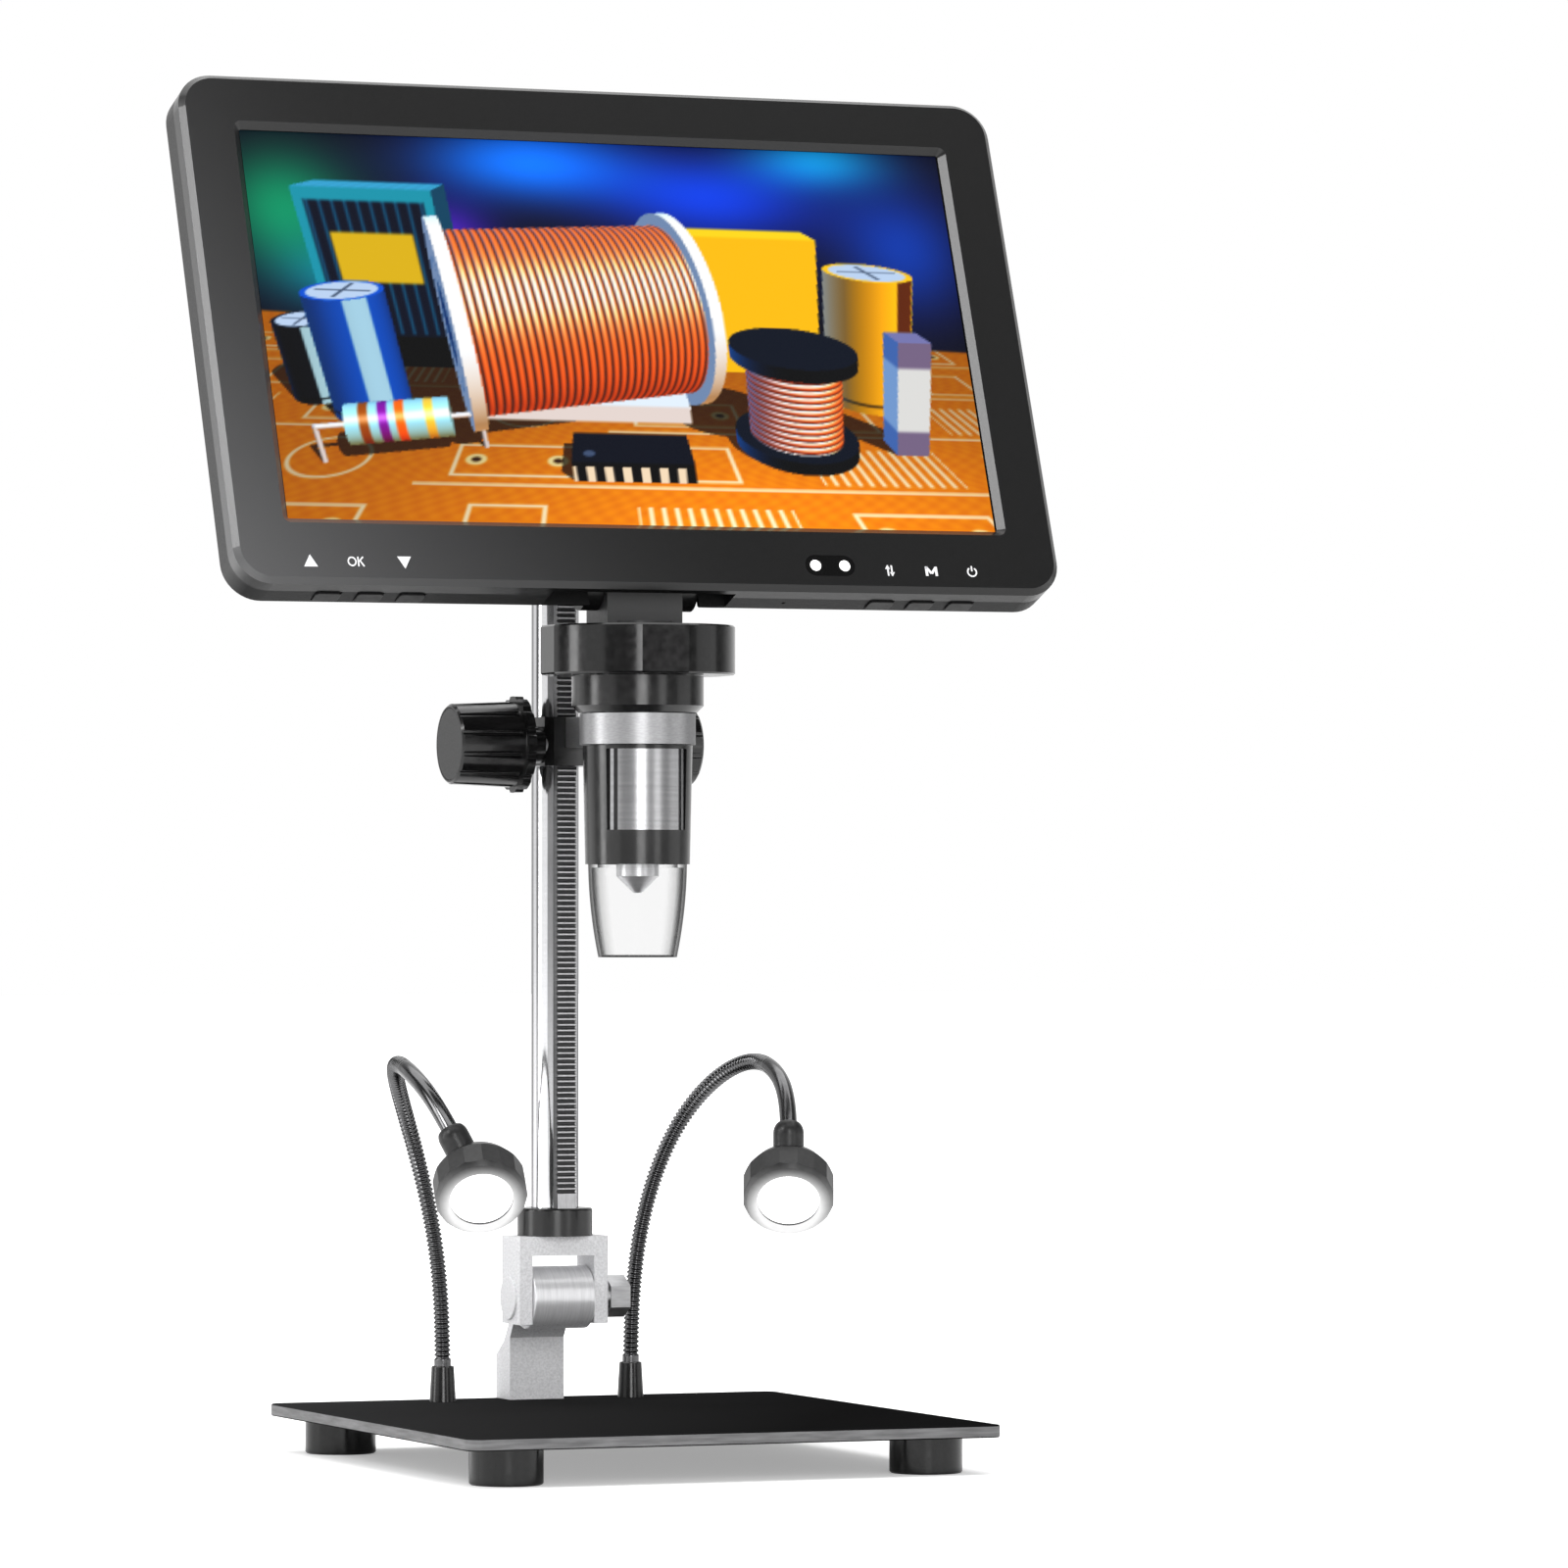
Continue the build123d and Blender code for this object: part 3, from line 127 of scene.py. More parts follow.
class Shader(Graph):
    """One node material around a Principled shader."""

    def __init__(self, name):
        self.material = bpy.data.materials.new(name)
        self.material.use_nodes = True
        super().__init__(self.material.node_tree)
        self.bsdf = self.tree.nodes["Principled BSDF"]
        self.output = self.tree.nodes["Material Output"]
        self.coords = self.node("ShaderNodeTexCoord").outputs["Object"]
        self.normal = self.node("ShaderNodeNewGeometry").outputs["Normal"]

    def set(self, **values):
        for key, value in values.items():
            self.bsdf.inputs[key.replace("_", " ")].default_value = value

    def noise(self, scale, detail=3.0, stretch=(1, 1, 1)):
        mapping = self.node("ShaderNodeMapping")
        mapping.inputs["Scale"].default_value = stretch
        self.link(self.coords, mapping.inputs["Vector"])
        made = self.node("ShaderNodeTexNoise")
        made.inputs["Scale"].default_value = scale
        made.inputs["Detail"].default_value = detail
        self.link(mapping.outputs["Vector"], made.inputs["Vector"])
        return made.outputs["Fac"]

    def along(self, direction):
        """The surface point's distance along a direction, in metres."""
        return self.dot(self.coords, direction)

    def facing(self, direction):
        """How much the surface faces a direction, from -1 to 1."""
        return self.dot(self.normal, direction)

    def blended(self, factor, first, second):
        """Two colours mixed by a factor; either is a colour or a socket."""
        made = self.node("ShaderNodeMix", data_type="RGBA")
        for value, key in ((first, "A"), (second, "B")):
            target = next(s for s in made.inputs if s.name == key and s.type == "RGBA")
            if isinstance(value, tuple):
                target.default_value = (*value, 1)
            else:
                self.link(value, target)
        self.link(factor, next(s for s in made.inputs if s.name == "Factor" and s.type == "VALUE"))
        return next(s for s in made.outputs if s.type == "RGBA")

    def colour(self, source):
        self.link(source, self.bsdf.inputs["Base Color"])

    def roughness(self, low, high, factor):
        self.link(self.between(factor, low, high), self.bsdf.inputs["Roughness"])

    def bump(self, height, strength, distance):
        made = self.node("ShaderNodeBump")
        made.inputs["Strength"].default_value = strength
        made.inputs["Distance"].default_value = distance
        self.link(height, made.inputs["Height"])
        self.link(made.outputs["Normal"], self.bsdf.inputs["Normal"])


def grey(value):
    return (value, value, value * 1.02)


def plastic(name, dark, light, rough, grain=900, depth=0.00002, specular=0.5, strength=0.2):
    s = Shader(name)
    fine = s.noise(grain, 4)
    s.colour(s.blended(s.between(s.noise(35), 0, 1), dark, light))
    s.roughness(rough - 0.04, rough + 0.05, fine)
    s.bump(fine, strength, depth)
    s.set(Specular_IOR_Level=specular)
    return s.material


def metal(name, dark, light, rough, stretch=(1, 1, 1), grain=600, depth=0.00001, strength=0.2, metallic=1.0,
          edge=1.0):
    s = Shader(name)
    streaks = s.noise(grain, 5, stretch)
    s.colour(s.blended(s.between(streaks, 0, 1), dark, light))
    s.roughness(rough - 0.04, rough + 0.05, s.noise(25, 2))
    s.bump(streaks, strength, depth)
    s.set(Metallic=metallic, Specular_Tint=(edge, edge, edge, 1))
    return s.material


def black_finish(name, value, rough, specular=0.5):
    """Satin black enamel: soft bright bands where the studio's strips reflect."""
    return plastic(name, grey(value), grey(value * 1.6), rough, 400, 0.000003, specular, 0.04)


def plate_finish():
    """Matt black on top and below, with a painted sheen that lightens the top towards the back left; the
    sheet's cut edges stay bright metal.
    """
    s = Shader("plate_black")
    fine = s.noise(2600, 4)
    # painted sheen: the top goes from near-black to dark grey towards the back left, standing in for
    # reflected light
    painted_sheen = s.between(s.along((-0.85, 0.5, 0)), 0.0, 1.0, -0.06, 0.12)
    top = s.blended(painted_sheen, grey(0.005), grey(0.030))
    top = s.blended(s.between(fine, 0, 0.3), top, grey(0.012))
    edge = s.blended(s.between(s.noise(90, 4, (1, 1, 12)), 0, 1), grey(0.08), grey(0.17))
    side = s.between(s.facing((0, 0, 1)), 1, 0, 0.15, 0.5)
    under = s.between(s.facing((0, 0, -1)), 1, 0, 0.15, 0.5)
    is_edge = s.maths("MULTIPLY", side, under)
    s.colour(s.blended(is_edge, top, edge))
    s.link(s.maths("MULTIPLY", is_edge, 0.55), s.bsdf.inputs["Specular IOR Level"])
    s.roughness(0.42, 0.55, fine)
    return s.material


def cast_finish(name, knuckle):
    """Sandblasted aluminium, with the round knuckle turned smooth."""
    s = Shader(name)
    grain = s.noise(1500, 4)
    coarse = s.noise(420, 3)
    speckle = s.blended(s.between(grain, 0, 1, 0.35, 0.65), grey(0.62), grey(0.80))
    body = s.blended(s.between(coarse, 0, 0.35), speckle, grey(0.72))
    rough = s.between(grain, 0.5, 0.62)
    if knuckle:
        turned = s.blended(s.between(s.noise(120, 4, (16, 1, 1)), 0, 1), grey(0.66), grey(0.78))
        knuckle_end = pivot_height - knuckle_foot
        upper = s.between(s.along((0, 0, 1)), 0, 1, (knuckle_end - 0.1) * MM, (knuckle_end + 0.1) * MM)
        body = s.blended(upper, body, turned)
        rough = s.between(upper, 0.55, 0.30, 0, 1)
    s.colour(body)
    s.link(rough, s.bsdf.inputs["Roughness"])
    s.bump(grain, 0.5, 0.00004)
    s.set(Metallic=0.45 if knuckle else 0.2, Specular_IOR_Level=0.3)
    return s.material


def rack_finish():
    """Milled rack: steel tooth lands, with painted shade that makes the gaps and the faces turned away from
    the front near-black.
    """
    s = Shader("rack_steel")
    tips = (post_axis_y - rack_tip + 0.25) * MM
    roots = (post_axis_y - rack_root) * MM
    # painted shade: near-black deep in the gaps between the teeth and on faces turned away from the front
    depth = s.between(s.along((0, 1, 0)), 0, 1, tips, roots)
    painted_flank_shade = s.between(s.facing((0, -1, 0)), 1, 0, 0.3, 0.7)
    milled = s.blended(s.between(s.noise(300, 4, (8, 1, 1)), 0, 1), grey(0.42), grey(0.55))
    s.colour(s.blended(s.maths("MAXIMUM", depth, painted_flank_shade), milled, grey(0.035)))
    s.roughness(0.4, 0.5, s.noise(400))
    s.set(Metallic=0.3)
    return s.material


def bezel_finish():
    """Satin plastic with painted light: its colour lightens towards the lower left. The underside gets a
    plain near-black without that light, slightly darker as painted shade, and stays dull.
    """
    s = Shader("bezel_satin")
    fine = s.noise(2200, 4)
    # painted light: the front's colour lightens from near-black to dark grey towards the lower left
    glance = s.along((-0.80, 0.0, -0.60))
    painted_light_ramp = s.between(glance, 0, 1, -0.19, -0.055)
    lower = s.maths("MULTIPLY", painted_light_ramp, painted_light_ramp)
    base = s.blended(lower, grey(0.0065), grey(0.085))
    # painted shade: the underside is set to a plain near-black, slightly darker than the face, with none of
    # the painted light
    underside = s.between(s.facing((0, 0, -1)), 0, 1, 0.35, 0.7)
    base = s.blended(underside, base, grey(0.005))
    s.colour(s.blended(s.between(fine, 0.0, 0.05), base, grey(0.03)))
    s.roughness(0.30, 0.36, fine)
    s.set(Coat_Weight=0.4, Coat_Roughness=0.16)
    s.link(s.between(s.facing((0, 0, -1)), 0.3, 0.04, 0.3, 0.8), s.bsdf.inputs["Specular IOR Level"])
    s.bump(fine, 0.15, 0.000006)
    return s.material


def cover_finish():
    s = Shader("cover_black")
    fine = s.noise(1500, 4)
    s.colour(s.blended(s.between(fine, 0, 1), grey(0.007), grey(0.012)))
    s.roughness(0.36, 0.46, fine)
    s.link(s.between(s.facing((0, 0, -1)), 0.5, 0.06, 0.3, 0.8), s.bsdf.inputs["Specular IOR Level"])
    s.bump(fine, 0.25, 0.00003)
    return s.material


def lamp_shell_finish(side):
    """Dark lamp shell with a painted glow: the shell itself emits light over the front rim, most of all below
    the lens.
    """
    s = Shader(side + "_lamp_shell")
    fine = s.noise(700)
    s.colour(s.blended(s.between(fine, 0, 1), grey(0.012), grey(0.020)))
    s.roughness(0.30, 0.38, s.noise(60))
    low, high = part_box(side + "_lamp_lens")
    glow_centre = [-(a + b) / 2 for a, b in zip(low, high)]
    glow_centre[2] += glow_drop * MM
    offset = s.node("ShaderNodeVectorMath", operation="ADD")
    offset.inputs[1].default_value = glow_centre
    s.link(s.coords, offset.inputs[0])
    reach = s.node("ShaderNodeVectorMath", operation="LENGTH")
    s.link(offset.outputs["Vector"], reach.inputs[0])
    # painted glow: the shell emits light near the lens, strongest on faces that look along the lamp's aim,
    # standing in for the lamp's light falling on it
    painted_glow_share = s.between(reach.outputs["Value"], 1.0, 0.03, glow_inner * MM, glow_outer * MM)
    front = s.between(s.facing(lamp_aims[side]), 0, 1, 0.2, 0.9)
    glow = s.maths("MULTIPLY", s.maths("MULTIPLY", painted_glow_share, painted_glow_share), front)
    s.link(s.maths("MULTIPLY", glow, s.between(fine, 0.95, 1.0)), s.bsdf.inputs["Emission Strength"])
    s.set(Emission_Color=(1, 1, 1, 1), Specular_IOR_Level=0.35)
    return s.material


def glowing(name, colour, strength, grain=400):
    s = Shader(name)
    brighter = tuple(min(1.0, c * 1.04) for c in colour)
    s.link(s.blended(s.between(s.noise(grain, 2), 0, 1), colour, brighter), s.bsdf.inputs["Emission Color"])
    s.set(Emission_Strength=strength, Base_Color=(*colour, 1), Roughness=0.3)
    return s.material


def clear(name, tint, painted_edge_shade, rough, blend=0.5, rim=None):
    """Thin clear plastic or glass: it lets light straight through, and painted shade darkens it where it
    curves away.

    rim gives two heights between which a lower rim is painted dark, as painted shade.
    """
    s = Shader(name)
    s.roughness(rough, rough + 0.05, s.noise(60, 2))
    s.set(Base_Color=(*painted_edge_shade, 1), IOR=1.49)
    edge = s.node("ShaderNodeLayerWeight")
    edge.inputs["Blend"].default_value = blend
    turned_away = edge.outputs["Facing"]
    through = s.node("ShaderNodeBsdfTransparent")
    # painted shade: the see-through colour darkens where the surface turns away from the view and along the
    # lower rim, standing in for how a curved clear wall bends and reflects light
    darker = s.between(turned_away, 0, 1, 0.45, 0.9)
    if rim:
        darker = s.maths("MAXIMUM", darker, s.between(s.along((0, 0, 1)), 0.6, 0, *rim))
    s.link(s.blended(darker, tint, painted_edge_shade), through.inputs["Color"])
    mix = s.node("ShaderNodeMixShader")
    s.link(s.between(turned_away, 0.02, 0.4, 0.2, 1.0), mix.inputs["Fac"])
    s.link(through.outputs["BSDF"], mix.inputs[1])
    s.link(s.bsdf.outputs["BSDF"], mix.inputs[2])
    s.link(mix.outputs["Shader"], s.output.inputs["Surface"])
    return s.material


shield_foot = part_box("light_shield")[0][2]
MATERIALS = {
    "plate": plate_finish(),
    "rubber": plastic("foot_rubber", grey(0.003), grey(0.005), 0.15, 700, 0.000002, 0.4, 0.03),
    "screw": metal("screw_steel", grey(0.35), grey(0.5), 0.32, grain=900),
    "cast": cast_finish("sandblasted_silver", False),
    "cast_knuckle": cast_finish("sandblasted_bracket", True),
    "chrome": metal("polished_chrome", grey(0.78), grey(0.84), 0.1, (1, 1, 6), 300, 0.000001, 0.05,
                    edge=0.25),
    "rack": rack_finish(),
    "black_metal": black_finish("black_enamel", 0.006, 0.2),
    "wheel": black_finish("black_wheel", 0.004, 0.16),
    "ring": metal("brushed_aluminium", grey(0.32), grey(0.40), 0.34, (1, 1, 4), 700, metallic=0.85, edge=0.4),
    "nut": metal("nut_steel", grey(0.32), grey(0.42), 0.3, (1, 1, 6), 200, metallic=0.8),
    "black_plastic": black_finish("black_plastic", 0.004, 0.17),
    "button": black_finish("button_plastic", 0.004, 0.4, 0.15),
    "neck": plastic("neck_grey", grey(0.035), grey(0.042), 0.42, 1400),
    "cap": plastic("cap_grey", grey(0.014), grey(0.018), 0.5, 1600),
    "bezel": bezel_finish(),
    "cover": cover_finish(),
    "panel": metal("polished_panel", grey(0.32), grey(0.40), 0.22, (1, 1, 30), 40, 0.000003, 0.1, edge=0.3),
    "nose": metal("turned_nose", grey(0.5), grey(0.6), 0.32, (1, 1, 60), 60, metallic=0.8),
    "shield": clear("clear_shield", (1.0, 1.0, 1.0), (0.07, 0.07, 0.07), 0.05,
                    rim=(shield_foot + 0.3 * MM, shield_foot + 0.8 * MM)),
    "board": plastic("circuit_board", (0.01, 0.09, 0.03), (0.015, 0.13, 0.05), 0.4, 500),
    "lens": clear("lens_glass", (0.9, 0.93, 0.98), (0.3, 0.35, 0.45), 0.03),
    "wrap": plastic("battery_film", (0.02, 0.06, 0.2), (0.03, 0.08, 0.25), 0.3, 300),
    "ir": plastic("ir_window_gloss", grey(0.002), grey(0.004), 0.08, 200, 0.000002),
    "left_lamp": lamp_shell_finish("left"),
    "right_lamp": lamp_shell_finish("right"),
    "gooseneck": metal("gooseneck_black_chrome", grey(0.12), grey(0.15), 0.18, grain=300),
    "white_print": plastic("white_print", grey(0.8), grey(0.88), 0.5, 900),
    "lamp_glow": glowing("lamp_glow", (1.0, 1.0, 1.0), 1.6),
    "led_glow": glowing("ring_led_glow", (1.0, 0.99, 0.96), 1.0),
}
FINISHES = {
    "plate": "base_plate",
    "rubber": "rubber_feet",
    "screw": "foot_screws bracket_screws pivot_washer clamp_screw pinion_shaft tilt_pin rear_screws",
    "cast": "clevis pivot_bolt",
    "nut": "pivot_nut",
    "cast_knuckle": "hinge_bracket",
    "chrome": "column_post",
    "rack": "gear_rack",
    "ring": "clamp_ring",
    "black_metal": "post_collar carriage_block head_core barrel_collar barrel_shell lens_carrier"
                   " left_lamp_ferrule right_lamp_ferrule",
    "wheel": "focus_wheel",
    "black_plastic": "left_knob right_knob",
    "button": "button_up button_ok button_down button_swap button_menu button_power",
    "cap": "left_knob_cap right_knob_cap lcd_panel",
    "neck": "neck_block",
    "panel": "barrel_panel panel_strips",
    "nose": "lens_cone",
    "shield": "light_shield",
    "board": "led_ring_board sensor_board main_board button_boards left_lamp_led_board right_lamp_led_board",
    "lens": "objective_lens",
    "bezel": "front_frame",
    "cover": "rear_cover",
    "ir": "cover_glass ir_window",
    "wrap": "battery",
    "gooseneck": "left_gooseneck right_gooseneck",
    "left_lamp": "left_lamp_head",
    "right_lamp": "right_lamp_head",
    "lamp_glow": "left_lamp_lens right_lamp_lens",
}
for finish, names in FINISHES.items():
    for node in names.split():
        mesh = nodes[node].data
        mesh.materials.clear()
        mesh.materials.append(MATERIALS[finish])


# ------------------------------------------------------------------ mesh helpers
def piece(name, mesh, material, body):
    made = bpy.data.objects.new(name, mesh)
    bpy.context.scene.collection.objects.link(made)
    if material:
        mesh.materials.append(MATERIALS[material])
    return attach(made, body)


def mesh_from(name, points, faces, smooth=True):
    mesh = bpy.data.meshes.new(name)
    mesh.from_pydata([tuple(p) for p in points], [], faces)
    mesh.polygons.foreach_set("use_smooth", [smooth] * len(mesh.polygons))
    return mesh


def on_screen(x, up, depth):
    """A point given across the face, up it and behind it in mm, in the row frame."""
    lean = radians(screen_lean)
    back, rise = depth - hinge_depth, up - hinge_rise
    y = tilt_y + back * cos(lean) + rise * sin(lean)
    z = tilt_z - back * sin(lean) + rise * cos(lean)
    return Vector((x, y, z)) * MM


def print_mark(name, outlines, centre, proud=0.05, sunk=0.02):
    """Flat marks on the front face, from outlines in mm about a centre."""
    points, faces = [], []
    for outline in outlines:
        start, count = len(points), len(outline)
        for depth in (-proud, sunk):
            points += [on_screen(centre[0] + x, centre[1] + up, depth) for x, up in outline]
        faces.append([start + i for i in range(count)])
        faces.append([start + count + i for i in reversed(range(count))])
        for i in range(count):
            j = (i + 1) % count
            faces.append([start + i, start + count + i, start + count + j, start + j])
    mesh = mesh_from(name, points, faces, smooth=False)
    fix = bmesh.new()
    fix.from_mesh(mesh)
    bmesh.ops.recalc_face_normals(fix, faces=fix.faces)
    fix.to_mesh(mesh)
    fix.free()
    return piece(name, mesh, "white_print", "screen")


def bar(x0, y0, x1, y1, width):
    """A straight stroke between two points."""
    along = Vector((x1 - x0, y1 - y0)).normalized() * width / 2
    across = Vector((-along.y, along.x))
    a, b = Vector((x0, y0)), Vector((x1, y1))
    return [tuple(p) for p in (a + across, b + across, b - across, a - across)]


def arc(radius, width, start, end, steps, squeeze=1.0, shift=0.0):
    """Quads along an arc, as one stroke."""
    quads = []
    for step in range(steps):
        a = radians(start + (end - start) * step / steps)
        b = radians(start + (end - start) * (step + 1) / steps)
        inner, outer = radius - width / 2, radius + width / 2
        corners = ((inner, a), (outer, a), (outer, b), (inner, b))
        quads.append([(r * cos(t) * squeeze + shift, r * sin(t)) for r, t in corners])
    return quads


def bezel_marks():
    places = [(x, marks_rise) for x in (*left_marks, *right_marks)]
    stroke, bold, tall = 0.45, 0.8, 1.5
    print_mark("mark_up", [[(-2.1, -1.8), (2.1, -1.8), (0, 2.0)]], places[0])
    letter_o = arc(1.3, stroke, 0, 360, 28, 0.9, -1.4)
    letter_k = [bar(0.5, -tall, 0.5, tall, stroke), bar(0.6, -0.1, 2.1, tall, stroke),
                bar(1.05, 0.3, 2.2, -tall, stroke)]
    print_mark("mark_ok", letter_o + letter_k, places[1])
    print_mark("mark_down", [[(-2.1, 1.8), (0, -2.0), (2.1, 1.8)]], places[2])
    up_arrow = [bar(-0.62, -1.7, -0.62, 0.9, 0.5), [(-1.5, 0.5), (0.1, 0.5), (-0.62, 1.9)]]
    down_arrow = [bar(0.62, -0.9, 0.62, 1.7, 0.5), [(-0.1, -0.5), (0.62, -1.9), (1.5, -0.5)]]
    print_mark("mark_swap", up_arrow + down_arrow, places[3])
    letter_m = [bar(-1.55, -tall, -1.55, tall, bold), bar(1.55, -tall, 1.55, tall, bold),
                bar(-1.55, 1.25, 0, -0.7, bold), bar(0, -0.7, 1.55, 1.25, bold)]
    print_mark("mark_menu", letter_m, places[4])
    print_mark("mark_power", arc(1.4, stroke, 125, 415, 26) + [bar(0, 0.2, 0, 1.9, stroke)], places[5])


def infrared_dots():
    """Two pale emitters in the dark oval window."""
    rings, around, radius, height = 5, 24, 1.75, 0.28
    for index, offset in enumerate((-ir_dots_spacing / 2, ir_dots_spacing / 2)):
        x, up = ir_window_centre[0] + offset, ir_window_centre[1]
        points = [on_screen(x, up, -height)]
        faces = []
        for ring in range(1, rings + 1):
            t = ring / rings * pi / 2
            for step in range(around):
                a = 2 * pi * step / around
                out = radius * sin(t)
                points.append(on_screen(x + out * cos(a), up + out * sin(a), -height * cos(t)))
        for step in range(around):
            follow = (step + 1) % around
            faces.append([0, 1 + step, 1 + follow])
            for ring in range(rings - 1):
                low, high = 1 + ring * around, 1 + (ring + 1) * around
                faces.append([low + step, high + step, high + follow, low + follow])
        faces.append([1 + (rings - 1) * around + step for step in reversed(range(around))])
        name = "infrared_emitter_%d" % index
        piece(name, mesh_from(name, points, faces), "led_glow", "screen")


# ------------------------------------------------------------------ goosenecks
def smooth_route(side):
    """Points along the gooseneck's NURBS centre line, in metres."""
    points = [neck_start, *gooseneck_route, lamp_ball_centre]
    curve = bpy.data.curves.new("neck_route", "CURVE")
    curve.dimensions = "3D"
    curve.resolution_u = 40
    spline = curve.splines.new("NURBS")
    spline.points.add(len(points) - 1)
    for target, (x, y, z) in zip(spline.points, points):
        target.co = (side * x * MM, y * MM, z * MM, 1)
    spline.use_endpoint_u = True
    spline.order_u = 4
    holder = bpy.data.objects.new("neck_route", curve)
    bpy.context.scene.collection.objects.link(holder)
    bpy.context.view_layer.update()
    mesh = bpy.data.meshes.new_from_object(holder.evaluated_get(bpy.context.evaluated_depsgraph_get()))
    line = [v.co.copy() for v in mesh.vertices]
    bpy.data.objects.remove(holder)
    bpy.data.meshes.remove(mesh)
    return line


def even_points(line, spacing):
    """The line resampled at an even spacing, with the direction and distance of each point."""
    places = np.array([tuple(p) for p in line])
    lengths = np.concatenate([[0], np.cumsum(np.linalg.norm(np.diff(places, axis=0), axis=1))])
    wanted = np.linspace(0, lengths[-1], int(lengths[-1] / spacing) + 1)
    even = np.stack([np.interp(wanted, lengths, places[:, k]) for k in range(3)], axis=1)
    ahead = np.gradient(even, axis=0)
    ahead /= np.linalg.norm(ahead, axis=1)[:, None]
    return even, ahead, wanted


def ribbed_tube(name, side):
    """A ribbed flexible tube that turns smooth near the lamp."""
    pitch, rib, around, skin = 1.4 * MM, 0.6 * MM, 24, 0.02 * MM
    smooth_length, fade, plain_foot = 34 * MM, 14 * MM, 11 * MM
    ball_overlap = 0.55
    even, ahead, along = even_points(smooth_route(side), pitch / 6)
    total = along[-1]
    normal = Vector((side, 0, 0))
    points, faces = [], []
    for centre, tangent, length in zip(even, ahead, along):
        if total - length < lamp_ball_radius * MM * ball_overlap:
            break
        tangent = Vector(tangent)
        normal = (normal - tangent * normal.dot(tangent)).normalized()
        other = tangent.cross(normal)
        ribbed = min(1.0, max(0.0, (total - smooth_length - length) / fade)) if length > plain_foot else 0.0
        wave = 0.5 + 0.5 * cos(2 * pi * length / pitch)
        radius = neck_tube_radius * MM - ribbed * rib * (1 - wave) - skin
        for step in range(around):
            a = 2 * pi * step / around
            points.append(Vector(centre) + (normal * cos(a) + other * sin(a)) * radius)
    rings = len(points) // around
    for ring in range(rings - 1):
        for step in range(around):
            follow = (step + 1) % around
            low, high = ring * around, (ring + 1) * around
            faces.append([low + step, low + follow, high + follow, high + step])
    faces.append(list(range(around))[::-1])
    faces.append([(rings - 1) * around + step for step in range(around)])
    return mesh_from(name, points, faces)


def gooseneck(side_name, side):
    name = side_name + "_ribbed_neck"
    tube = piece(name, ribbed_tube(name, side), "gooseneck", side_name + "_neck")
    sphere = bmesh.new()
    bmesh.ops.create_uvsphere(sphere, u_segments=32, v_segments=20, radius=lamp_ball_radius * MM)
    x, y, z = lamp_ball_centre
    bmesh.ops.translate(sphere, verts=sphere.verts, vec=(side * x * MM, y * MM, z * MM))
    for face in sphere.faces:
        face.smooth = True
    mesh = bpy.data.meshes.new(side_name + "_neck_ball")
    sphere.to_mesh(mesh)
    sphere.free()
    piece(side_name + "_neck_ball", mesh, "gooseneck", side_name + "_neck")
    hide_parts(side_name + "_gooseneck")


# ------------------------------------------------------------------ the lit picture
# A generic close-up of circuit parts, traced as a small scene of its own: board at z = 0, +y away.
picture_columns, picture_rows = 420, 236
samples_across = 2
eye = np.array([0.3, -6.4, 3.5])
look_at = np.array([0.3, 0.6, 1.05])
field = 0.55                    # half the picture's width at distance 1
board_end = 3.7
display_gamma = 2.2
key_light = np.array([0.45, -0.55, 0.72])
rim_light = np.array([-0.85, 0.2, 0.35])
cool_light = np.array([-0.5, -0.6, 0.65])
shadow_share = 0.32
board_reach = 40                # no board is drawn beyond this distance
tiny = 1e-9                     # keeps divisions from zero
nearest_hit = 1e-3
NO_HIT = 1e9


def unit(vector):
    return vector / np.linalg.norm(vector, axis=-1, keepdims=True)


def view_rays():
    """The ray of each sample, with its place across and up the picture from 0 to 1."""
    rows, columns = picture_rows * samples_across, picture_columns * samples_across
    u, v = np.meshgrid(np.linspace(-1, 1, columns), np.linspace(-1, 1, rows))
    ahead = unit(look_at - eye)
    right = unit(np.cross(ahead, np.array([0.0, 0.0, 1.0])))
    up = np.cross(right, ahead)
    tall = lit_size[1] / lit_size[0]
    rays = ahead + field * (u[..., None] * right + v[..., None] * tall * up)
    return unit(rays), (u + 1) / 2, (v + 1) / 2


def hit_cylinder(start, rays, foot, axis, radius, length):
    """Distance, outward normal, height along the axis and whether a flat end was hit."""
    away = start - foot
    along_ray = rays @ axis
    along_away = away @ axis
    ray_across = rays - along_ray[..., None] * axis
    away_across = away - along_away[..., None] * axis
    a = np.maximum((ray_across ** 2).sum(-1), tiny)
    b = (ray_across * away_across).sum(-1)
    c = (away_across ** 2).sum(-1) - radius ** 2
    disc = b * b - a * c
    t = (-b - np.sqrt(np.maximum(disc, 0))) / a
    height = along_away + t * along_ray
    side = (disc > 0) & (t > nearest_hit) & (height > 0) & (height < length)
    best = np.where(side, t, NO_HIT)
    normal = unit(away_across + t[..., None] * ray_across + tiny)
    end = np.zeros(best.shape, bool)
    for level, sign in ((0.0, -1.0), (length, 1.0)):
        flat = (level - along_away) / np.where(np.abs(along_ray) < tiny, tiny, along_ray)
        reach = away_across + flat[..., None] * ray_across
        ok = (flat > nearest_hit) & (flat < best) & ((reach ** 2).sum(-1) < radius ** 2)
        best = np.where(ok, flat, best)
        normal = np.where(ok[..., None], sign * axis, normal)
        height = np.where(ok, level, height)
        end |= ok
    return best, normal, height, end


